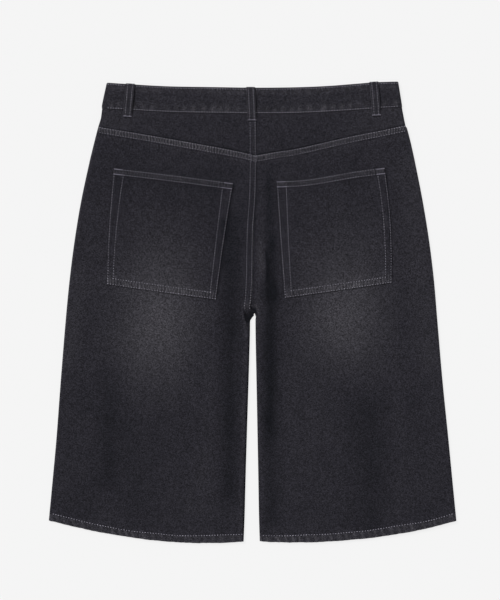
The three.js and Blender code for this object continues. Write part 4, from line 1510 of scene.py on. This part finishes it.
@dataclass
class BeltLoop:
    """A strip folded in three with a row of stitches along each edge."""

    name: str
    top_x: float
    bottom_x: float
    seam: float = 0.0
    behind: bool = True
    width: float = 13
    drop: float = 10.5
    section: Table = Table("down out inside", (
        (-1.3, -1, -1),
        (-1.25, 1.2, 0.3),
        (0.2, 1.9, 0.3),
        (6, 1.9, 0.3),
        (12, 2.9, 1.3),
        (22, 3.4, 1.8),
        (32, 3.1, 1.5),
        (37.5, 2.3, 0.7),
    ))

    def _spread(self) -> tuple[float, float]:
        """Length, and how far down the waistband ends."""
        top, bottom = np.array(self.top_x), np.array(self.bottom_x)
        band_end = float(FORM.band_y(top, "top") - FORM.band_y(bottom, "bottom"))
        return band_end + self.drop, band_end

    def details(self, off: Array, down: Array) -> tuple[Array, Array]:
        """Ridges over the turned edges, a dip along the middle, and small cross ripples."""
        place = down + 60 * self.top_x
        ripple = Puckers(4.2, 91, 1.2).at(place)
        ridge = bell(np.abs(off) - 3.6, 1.4)
        rise = 0.22 * ridge - 0.2 * bell(off, 1.2) + 0.1 * (ripple - 0.4) * bell(np.abs(off) - 1.5, 1.6)
        rise += seam_line(np.abs(off) - 3.4, 0.5)
        fade = 0.09 + 0.07 * ridge + 0.07 * ripple * bell(off + 0.6, 1.8)
        fade = fade + 0.03 * Wander(92, 4).field(off * 3, place)
        fade += 0.08 * bell(np.abs(off) - 6.3, 0.7)
        return rise, np.maximum(fade, 0.004)

    def build(self, material: bpy.types.Material) -> bpy.types.Object:
        length, band_end = self._spread()
        half = self.width / 2
        offs = np.concatenate([-half + steps((0.8, 0.27)), np.linspace(-half + 1.4, half - 1.4, 16),
                               half - steps((0.8, 0.27))[::-1]])
        sink = 0.55 * smooth(np.abs(offs), half - 0.9, half)
        if self.behind:
            outer, inner = self._back(offs, sink, length, band_end)
        else:
            outer, inner = self._front(offs, length)
        down = steps((length, 0.8))
        rise, fade = self.details(offs[None], down[:, None])
        if self.behind:
            outer[4:, :, 2] += np.resize(rise, outer.shape[:2])[4:]
        whole = np.resize(fade, outer.shape[:2])
        node = f"belt_loop_{'back' if self.behind else 'front'}_{self.name}"
        piece = shell(f"{node}_cloth", outer, inner, material, whole)
        finish_piece(piece, node)
        return piece

    def _back(self, offs: Array, sink: Array, length: float, band_end: float) -> tuple[Array, Array]:
        """Points of a loop over the back of the waistband."""
        rows = self.section.rows + ((band_end + 2, 1.8, 0.4), (length, 1.5, 0.3))
        table = Table(self.section.columns, rows)
        stops = np.concatenate([[-0.9, -0.88, -0.7, -0.35], steps((length, 0.8))])
        outs, insides = table.straight("down", "out", stops), table.straight("down", "inside", stops)
        outs[:4] = (-1, 0.4, 1.2, 1.6)
        insides[:4] = (-1, -0.3, 0.1, 0.25)
        inner_stops = np.concatenate([[-0.3, -0.3, -0.2, 0.0], steps((length, 0.8))])
        faces = []
        for places, ups, sinks in ((stops, outs, sink), (inner_stops, insides, 0 * sink)):
            down, off = np.meshgrid(places, offs, indexing="ij")
            x = mix(self.top_x, self.bottom_x, down / length) + off
            y = FORM.band_y(self.top_x + off, "top") - down
            on_band = FORM.band_top + FORM.fly_z(x, np.array(FORM.lift_end))
            on_yoke = FORM.back_z(x, FORM.band_y(x, "bottom")) + self.seam
            under = np.where(down <= band_end + 1, np.maximum(on_band, on_yoke), on_yoke)
            faces.append(np.dstack([x, y, under + ups[:, None] - sinks[None]]))
        return faces[0], faces[1]

    def _front(self, offs: Array, length: float) -> tuple[Array, Array]:
        """Points of a loop under the front of the waistband, pressed flat."""
        wall, lift = FORM.loop_wall, FORM.front_lift
        stops = np.concatenate([[-1.3, -1.3, -1.0, -0.5], steps((length, 0.8))])
        outs = np.concatenate([[lift + 1, 0.6, 0.3, 0.1], 0 * steps((length, 0.8))])
        inner_stops = np.concatenate([[-0.3, -0.3, -0.1, 0.4], steps((length, 0.8))])
        insides = np.concatenate([[lift + 1, wall, wall, wall], wall + 0 * steps((length, 0.8))])
        faces = []
        for places, ups in ((stops, outs), (inner_stops, insides)):
            down, off = np.meshgrid(places, offs, indexing="ij")
            top = self.top_x + off
            y = FORM.band_y(top, "top") - FORM.dip(top) - down
            x = mix(self.top_x, self.bottom_x, down / length) + off
            faces.append(np.dstack([x, y, ups[:, None] + 0 * x]))
        return faces[0], faces[1]

    def path(self, off: float, start: float, end: float, parts: int = 60) -> Array:
        """X and Y along the loop at a distance from its middle line."""
        length, _ = self._spread()
        down = np.linspace(start, length + end, parts)
        top = np.array(self.top_x + off)
        dip = 0.0 if self.behind else float(FORM.dip(top))
        x = mix(self.top_x, self.bottom_x, down / length) + off
        return np.stack([x, float(FORM.band_y(top, "top")) - dip - down], -1)

    def tack(self) -> Array:
        """X and Y across the loop's lower end."""
        length, _ = self._spread()
        t = np.linspace(-0.47, 0.47, 20) * self.width
        top = self.top_x + t
        dip = 0 if self.behind else FORM.dip(top)
        return np.stack([self.bottom_x + t, FORM.band_y(top, "top") - dip - length + 1.3], -1)


class Face(Enum):
    """Which face of the shorts a row is sewn on."""

    BACK = 1
    FRONT = -1


@dataclass
class Needle:
    """Geometry Nodes tree that sews stitches along edges, and how it is used."""

    name: str = "stitches_along_edges"
    seed: int = 11

    def tree(self) -> bpy.types.GeometryNodeTree:
        """Build the tree with named inputs."""
        tree = bpy.data.node_groups.new(self.name, "GeometryNodeTree")
        for name, kind, value in (("Rows", "NodeSocketGeometry", None), ("Pitch", "NodeSocketFloat", 0.0028),
                                  ("Stitch Size", "NodeSocketVector", (0.0007, 0.0005, 0.0017)),
                                  ("Unevenness", "NodeSocketFloat", 0.12),
                                  ("Seed", "NodeSocketInt", self.seed),
                                  ("Thread", "NodeSocketMaterial", None)):
            socket = tree.interface.new_socket(name, in_out="INPUT", socket_type=kind)
            if value is not None:
                socket.default_value = value
        tree.interface.new_socket("Stitches", in_out="OUTPUT", socket_type="NodeSocketGeometry")
        given = add(tree, "NodeGroupInput").outputs
        curve = add(tree, "GeometryNodeMeshToCurve", {"Mesh": given["Rows"]})
        level = add(tree, "GeometryNodeSetCurveNormal", {"Curve": curve.outputs["Curve"]}, mode="Z_UP")
        places = add(tree, "GeometryNodeCurveToPoints", {
            "Curve": level.outputs["Curve"], "Length": given["Pitch"],
        }, mode="LENGTH")
        bead = add(tree, "GeometryNodeMeshUVSphere", {"Segments": 6, "Rings": 4, "Radius": 0.5})
        low = add(tree, "ShaderNodeMath", {0: 1.0, 1: given["Unevenness"]}, operation="SUBTRACT")
        high = add(tree, "ShaderNodeMath", {0: 1.0, 1: given["Unevenness"]}, operation="ADD")
        uneven = add(tree, "FunctionNodeRandomValue", {
            2: low.outputs[0], 3: high.outputs[0], "Seed": given["Seed"],
        }, data_type="FLOAT")
        size = add(tree, "ShaderNodeVectorMath", {
            0: given["Stitch Size"], "Scale": uneven.outputs[1],
        }, operation="SCALE")
        lean = add(tree, "FunctionNodeRandomValue", {
            0: (0.0, -0.1, 0.0), 1: (0.0, 0.1, 0.0), "Seed": given["Seed"],
        }, data_type="FLOAT_VECTOR")
        turned = add(tree, "FunctionNodeRotateRotation", {
            "Rotation": places.outputs["Rotation"], "Rotate By": lean.outputs[0],
        }, rotation_space="LOCAL")
        sewn = add(tree, "GeometryNodeInstanceOnPoints", {
            "Points": places.outputs["Points"], "Instance": bead.outputs["Mesh"],
            "Rotation": turned.outputs["Rotation"], "Scale": size.outputs["Vector"],
        })
        real = add(tree, "GeometryNodeRealizeInstances", {"Geometry": sewn.outputs["Instances"]})
        soft = add(tree, "GeometryNodeSetShadeSmooth", {"Geometry": real.outputs["Geometry"]})
        dressed = add(tree, "GeometryNodeSetMaterial", {
            "Geometry": soft.outputs["Geometry"], "Material": given["Thread"],
        })
        add(tree, "NodeGroupOutput", {"Stitches": dressed.outputs["Geometry"]})
        return tree


@dataclass
class Sewing:
    """Lays stitch rows on the pieces and turns them into thread."""

    thread: bpy.types.Material
    tack: bpy.types.Material
    pitch: float = 3.8
    stitch: tuple[float, float, float] = (0.95, 0.5, 1.65)
    fine: tuple[float, float, float] = (0.65, 0.4, 1.55)
    hem_pitch: float = 3.9
    hem_stitch: tuple[float, float, float] = (0.92, 0.6, 2.0)
    pocket_stitch: tuple[float, float, float] = (0.74, 0.45, 1.6)
    loop_pitch: float = 3.6
    loop_stitch: tuple[float, float, float] = (0.7, 0.45, 1.5)
    # The front's thread is pressed into the cloth, so that it lies level on the floor
    pressed: float = -0.1
    tack_pitch: float = 0.6
    tack_stitch: tuple[float, float, float] = (1.7, 0.7, 0.55)
    tree: bpy.types.GeometryNodeTree = field(default_factory=lambda: Needle().tree())

    def surface(self, pieces: list[bpy.types.Object]) -> BVHTree:
        """Join the pieces' faces into one tree for dropping rows on."""
        points: list[Vector] = []
        faces: list[tuple[int, ...]] = []
        for piece in pieces:
            start = len(points)
            points.extend(vertex.co for vertex in piece.data.vertices)
            faces.extend(tuple(start + i for i in face.vertices) for face in piece.data.polygons)
        return BVHTree.FromPolygons(points, faces)

    def drop(self, path: Array, surface: BVHTree, face: Face,
             lift: float) -> list[tuple[float, float, float]]:
        """Drop a path on the pieces.

        Args:
            path: X and Y in millimetres.
            surface: tree of the pieces that carry it.
            face: whether it comes from above or from below.
            lift: how far the thread's middle stands off the cloth, in millimetres.

        Returns:
            Points in metres, where the cloth was met.
        """
        points = []
        for x, y in path:
            start = Vector((x * MM, y * MM, 0.05 * face.value))
            hit = surface.ray_cast(start, Vector((0, 0, -face.value)))[0]
            if hit is not None:
                points.append((hit.x, hit.y, hit.z + face.value * lift * MM))
        return points

    def sew(self, name: str, paths: list[Array], on: list[bpy.types.Object], face: Face = Face.BACK,
            pitch: float | None = None, stitch: tuple[float, float, float] | None = None,
            lift: float = 0.12, material: bpy.types.Material | None = None) -> bpy.types.Object:
        """Sew rows of stitches on pieces.

        Args:
            name: name of the new piece of thread.
            paths: X and Y of each row in millimetres.
            on: pieces that carry the rows.
            face: the face of the shorts.
            pitch: distance between stitches.
            stitch: width, height and length of a stitch.
            lift: how far the thread stands off the cloth.
            material: the thread, if not the usual one.

        Returns:
            The stitches as one mesh.
        """
        surface = self.surface(on)
        points: list[tuple[float, float, float]] = []
        edges: list[tuple[int, int]] = []
        for path in paths:
            dropped = self.drop(path, surface, face, lift)
            start = len(points)
            points += dropped
            edges += [(start + i, start + i + 1) for i in range(len(dropped) - 1)]
        mesh = bpy.data.meshes.new(name)
        mesh.from_pydata(points, edges, [])
        rows = bpy.data.objects.new(f"{name}_rows", mesh)
        bpy.context.scene.collection.objects.link(rows)
        modifier = rows.modifiers.new("sewing", "NODES")
        modifier.node_group = self.tree
        size = [value * MM for value in stitch or self.stitch]
        given = {"Pitch": (pitch or self.pitch) * MM, "Stitch Size": size, "Thread": material or self.thread}
        for socket in self.tree.interface.items_tree:
            if socket.name in given:
                modifier[socket.identifier] = given[socket.name]
        evaluated = rows.evaluated_get(bpy.context.evaluated_depsgraph_get())
        thread = bpy.data.objects.new(name, bpy.data.meshes.new_from_object(evaluated))
        bpy.context.scene.collection.objects.link(thread)
        bpy.data.objects.remove(rows)
        finish_piece(thread, "")
        return thread

    def bartacks(self, name: str, paths: list[Array], on: list[bpy.types.Object],
                 face: Face = Face.BACK) -> bpy.types.Object:
        """Sew dense bars across short paths."""
        return self.sew(name, paths, on, face, self.tack_pitch, self.tack_stitch, 0.2, self.tack)


def line_path(x: Array, y: Array) -> Array:
    """X and Y as one path."""
    return np.stack([x + 0 * y, y + 0 * x], -1)


@dataclass
class BackSeams:
    """Stitch rows of the yoke, the seat seam, the hems and the waistband."""

    yoke_rows: tuple[float, float] = (1.0, 8.2)
    seat_rows: tuple[float, float] = (1.5, 9.0)
    band_rows: tuple[float, float] = (2.3, 35.8)

    def yoke(self) -> list[Array]:
        """Two rows below the lapped edge."""
        x = np.linspace(-224, 223, 330)
        return [line_path(x, FORM.yoke_y(x) - row) for row in self.yoke_rows]

    def seat(self) -> list[Array]:
        """Two rows down the lapped seam."""
        y = np.linspace(290, 6, 200)
        return [line_path(FORM.seat_seam.curve("y", "x", y) - row, y) for row in self.seat_rows]

    def hems(self) -> list[Array]:
        """One row round each hem at the back."""
        paths = []
        for side in Side:
            x = np.linspace(16, 293, 200) * -side.inward
            paths.append(line_path(x, FORM.hem_y(x) + FORM.by_leg(FORM.hem_row, x)))
        return paths

    def band(self) -> list[Array]:
        """A row along each edge of the waistband at the back."""
        x = np.linspace(-212, 212, 320)
        top = FORM.band_y(x, "top")
        height = top - FORM.band_y(x, "bottom")
        return [line_path(x, top - row / FORM.band_height * height) for row in self.band_rows]


@dataclass
class FrontSeams:
    """Stitch rows of the front, which lies on the surface."""

    band_rows: tuple[float, float] = (1.8, 35.8)
    seam_rows: tuple[float, float] = (1.8, 8.2)
    fly_rows: tuple[float, float] = (0.0, 6.0)
    fly_top: float = 278
    fly_x: float = -38
    fly_end: float = 150
    hem_row: float = 10.2

    def band(self) -> list[Array]:
        """A row along each edge of the waistband at the front."""
        x = np.linspace(-205, 205, 300)
        top = FORM.band_y(x, "top") - FORM.dip(x)
        height = FORM.band_y(x, "top") - FORM.band_y(x, "bottom")
        return [line_path(x, top - row / FORM.band_height * height) for row in self.band_rows]

    def fly(self) -> list[Array]:
        """Two curved rows round the fly and two down the middle seam."""
        paths = []
        for inside in self.fly_rows:
            down = np.linspace(0, 1, 60)
            bend = np.clip((down - 0.72) / 0.28, 0, 1)
            x = self.fly_x + inside + (3 - self.fly_x - inside) * (1 - np.sqrt(1 - bend**2))
            y = self.fly_top - down * (self.fly_end - inside)
            paths.append(line_path(x, y))
        y = np.linspace(self.fly_top - self.fly_end, 14, 60)
        for row in self.seam_rows:
            paths.append(line_path(FORM.seat_seam.curve("y", "x", y) - row, y))
        return paths

    def hems(self) -> list[Array]:
        """One row round each hem at the front."""
        paths = []
        for side in Side:
            x = np.linspace(19, 290, 200) * -side.inward
            paths.append(line_path(x, FORM.hem_y(x) + 1 + self.hem_row))
        return paths


@dataclass
class FlyZip:
    """Zip behind the fly: tape, teeth and closed slider."""

    x: float = 4
    width: float = 24
    length: float = 145
    drop: float = 2
    tooth: float = 1.6

    def _top(self) -> float:
        return float(FORM.band_y(np.array(0.0), "bottom")) - FORM.front_dip - self.drop

    def build(self, wardrobe: Wardrobe, sewing: Sewing) -> list[bpy.types.Object]:
        """Make the tape and, by the sewing tree, its teeth."""
        widths = np.linspace(-0.5, 0.5, 17) * self.width
        down, across = np.meshgrid(steps((self.length, 2.5)), widths, indexing="ij")
        y = self._top() - down
        under = FORM.front_z(y) + FORM.cloth + FORM.seam_gap
        ridge = 0.12 * bell(np.abs(across) - 3, 0.8)
        outer = np.dstack([self.x + across, y, under + 0.6 + ridge])
        inner = np.dstack([self.x + across, y, under])
        tape = shell("fly_zip_tape", outer, inner, wardrobe.tape, 0.03 + 0 * down)
        finish_piece(tape, "fly_zip")
        y = self._top() - np.linspace(3, self.length - 6, 80)
        teeth = sewing.sew("fly_zip_teeth", [line_path(np.array(self.x), y)], [tape], Face.BACK, self.tooth,
                           (4.6, 0.5, 1.0), 0.12, wardrobe.metal)
        return [tape, teeth]


@dataclass
class FlyShield:
    """Doubled strip of denim behind the zip."""

    x: float = 4
    width: float = 38
    length: float = 145
    drop: float = 2
    under_zip: float = 1.6

    def build(self, material: bpy.types.Material) -> bpy.types.Object:
        top = float(FORM.band_y(np.array(0.0), "bottom")) - FORM.front_dip - self.drop
        widths = np.linspace(-0.5, 0.5, 21) * self.width
        down, across = np.meshgrid(steps((self.length, 2.5)), widths, indexing="ij")
        y = top - down
        under = FORM.front_z(y) + FORM.cloth + self.under_zip
        edge = 0.35 * smooth(np.abs(across), self.width / 2 - 1.2, self.width / 2)
        outer = np.dstack([self.x + across, y, under + FORM.cloth - edge])
        inner = np.dstack([self.x + across, y, under])
        fade = 0.05 + 0.02 * Wander(95, 9).field(across, y)
        piece = shell("fly_shield_cloth", outer, inner, material, fade)
        finish_piece(piece, "fly_shield")
        return piece


@dataclass
class WaistButton:
    """Shank button of pressed metal with a rolled rim and a domed middle."""

    x: float = 8
    segments: int = 72
    profile: Table = Table("radius up", (
        (0.2, 0.62),
        (1.6, 0.55),
        (2.1, 0.3),
        (2.5, 0.55),
        (4.6, 0.62),
        (5.6, 0.5),
        (6.1, 0.12),
        (6.8, 0.0),
        (7.6, 0.02),
        (8.2, 0.25),
        (8.5, 0.6),
        (8.4, 1.0),
        (7.6, 1.35),
        (3.2, 1.6),
        (0.2, 1.6),
    ))

    def build(self, material: bpy.types.Material) -> bpy.types.Object:
        """Turn the profile round the button's axis."""
        edges = FORM.band_y(np.array(0.0), "top") + FORM.band_y(np.array(0.0), "bottom")
        y = float(edges) / 2 - FORM.front_dip
        radii, ups = self.profile.column("radius"), self.profile.column("up")
        fine = np.linspace(0, len(radii) - 1, 57)
        radii = np.interp(fine, np.arange(len(radii)), radii)
        ups = np.interp(fine, np.arange(len(ups)), ups)
        turns = np.arange(self.segments) * 2 * math.pi / self.segments
        points = np.stack([
            self.x + radii[:, None] * np.cos(turns),
            y + radii[:, None] * np.sin(turns),
            ups[:, None] + 0 * turns,
        ], -1).reshape(-1, 3)
        caps = np.array([[self.x, y, ups[0]], [self.x, y, ups[-1]]])
        at = np.arange(len(radii) * self.segments).reshape(len(radii), self.segments)
        after = np.roll(at, -1, 1)
        quads = np.stack([at[:-1], after[:-1], after[1:], at[1:]], -1).reshape(-1, 4)
        pairs = at.shape[1] // 2
        first, last = at[0], at[-1]
        low, high = len(points), len(points) + 1
        fan = [
            (low, first[(2 * i + 2) % self.segments], first[2 * i + 1], first[2 * i]) for i in range(pairs)
        ]
        fan += [(high, last[2 * i], last[2 * i + 1], last[(2 * i + 2) % self.segments]) for i in range(pairs)]
        faces = np.concatenate([quads[:, ::-1], np.array(fan)])
        points = np.concatenate([points, caps])
        piece = mesh_object("waist_button_metal", points, np.ascontiguousarray(faces), material)
        finish_piece(piece, "waist_button")
        return piece


@dataclass
class Studio:
    """Pale floor, soft light and the camera straight above."""

    lens: float = 85
    sensor: float = 36
    image_height: float = 600
    scale: float = 1.47
    middle: tuple[float, float] = (-3.9, 18.15)
    floor_size: float = 60
    floor_drop: float = 0.0004
    sky: float = 0.46
    key: float = 2.4
    key_width: float = 24
    key_from: tuple[float, float, float] = (-1.0, 0.9, 1.35)

    def camera(self) -> None:
        """Place the camera where the photo's frame is filled the same way."""
        data = bpy.data.cameras.new("overhead_camera")
        data.lens = self.lens
        data.sensor_width = self.sensor
        distance = self.image_height * self.scale * MM * self.lens / self.sensor + FORM.back_top * MM
        camera = bpy.data.objects.new("overhead_camera", data)
        camera.location = (self.middle[0] * MM, self.middle[1] * MM, distance)
        bpy.context.scene.collection.objects.link(camera)
        bpy.context.scene.camera = camera

    def light(self) -> None:
        """Light it evenly from all round and softly from the upper left."""
        world = bpy.data.worlds.new("studio")
        world.use_nodes = True
        background = world.node_tree.nodes["Background"]
        background.inputs["Color"].default_value = (1, 1, 1, 1)
        background.inputs["Strength"].default_value = self.sky
        bpy.context.scene.world = world
        data = bpy.data.lights.new("key_softbox", "SUN")
        data.energy = self.key
        data.angle = math.radians(self.key_width)
        lamp = bpy.data.objects.new("key_softbox", data)
        lamp.rotation_euler = (-Vector(self.key_from)).to_track_quat("-Z", "Y").to_euler()
        bpy.context.scene.collection.objects.link(lamp)

    def floor(self) -> None:
        """Lay the floor just under the shorts."""
        half = self.floor_size / 2
        mesh = bpy.data.meshes.new("studio_floor")
        low = -self.floor_drop
        corners = [(-half, -half, low), (half, -half, low), (half, half, low), (-half, half, low)]
        mesh.from_pydata(corners, [], [(0, 1, 2, 3)])
        mesh.materials.append(Floor().material())
        floor = bpy.data.objects.new("studio_floor", mesh)
        bpy.context.scene.collection.objects.link(floor)

    def build(self) -> None:
        """Set up camera, light, floor and plain colour handling."""
        self.camera()
        self.light()
        self.floor()
        bpy.context.scene.view_settings.view_transform = "Standard"


def main() -> None:
    """Build the shorts piece by piece."""
    logging.basicConfig(level=logging.INFO, format="%(name)s %(message)s")
    Studio().build()
    wardrobe = Wardrobe()
    sewing = Sewing(wardrobe.thread, wardrobe.tack)

    panels = [cut(side).build(wardrobe.denim) for cut in (FrontPanel, BackPanel, Yoke) for side in Side]
    band_piece = Waistband().build(wardrobe.band)
    pockets = [BackPocket(side) for side in Side]
    pocket_pieces = [pocket.build(wardrobe.denim) for pocket in pockets]
    loops = [
        BeltLoop("left", -179.4, -184),
        BeltLoop("centre", -3, -0.8, FORM.lap_rise),
        BeltLoop("right", 177.9, 181.8),
        BeltLoop("left", -104, -106, behind=False),
        BeltLoop("right", 104, 106, behind=False),
    ]
    loop_pieces = [loop.build(wardrobe.band) for loop in loops]
    FlyZip().build(wardrobe, sewing)
    FlyShield().build(wardrobe.denim)
    WaistButton().build(wardrobe.metal)

    back, front = BackSeams(), FrontSeams()
    backs, fronts = panels[2:], panels[:2]
    sewing.sew("yoke_stitching", back.yoke(), backs)
    sewing.sew("seat_stitching", back.seat(), backs, stitch=sewing.fine)
    sewing.sew("back_hem_stitching", back.hems(), backs, pitch=sewing.hem_pitch, stitch=sewing.hem_stitch)
    sewing.sew("back_waistband_stitching", back.band(), [band_piece])
    sewing.sew("front_waistband_stitching", front.band(), [band_piece], Face.FRONT, lift=sewing.pressed)
    sewing.sew("fly_stitching", front.fly(), fronts, Face.FRONT, lift=sewing.pressed)
    sewing.sew("front_hem_stitching", front.hems(), fronts, Face.FRONT, pitch=sewing.hem_pitch,
               stitch=sewing.hem_stitch, lift=sewing.pressed)
    for pocket, piece in zip(pockets, pocket_pieces):
        sewing.sew(f"back_pocket_{pocket.side.value}_stitching", pocket.rows(), [piece],
                   stitch=sewing.pocket_stitch)
    sewing.bartacks("pocket_bartacks", [path for pocket in pockets for path in pocket.tacks()], pocket_pieces)
    for face in Face:
        some = [
            (loop, piece) for loop, piece in zip(loops, loop_pieces) if loop.behind == (face is Face.BACK)
        ]
        pieces = [piece for _, piece in some]
        name = face.name.lower()
        lift = 0.1 * face.value
        rows = [loop.path(off, 1.0, -2.6) for loop, _ in some for off in (-3.4, 3.4)]
        sewing.sew(f"{name}_loop_stitching", rows, pieces, face, sewing.loop_pitch, sewing.loop_stitch, lift)
        sewing.bartacks(f"{name}_loop_bartacks", [loop.tack() for loop, _ in some], pieces, face)


if __name__ == "__main__":
    main()
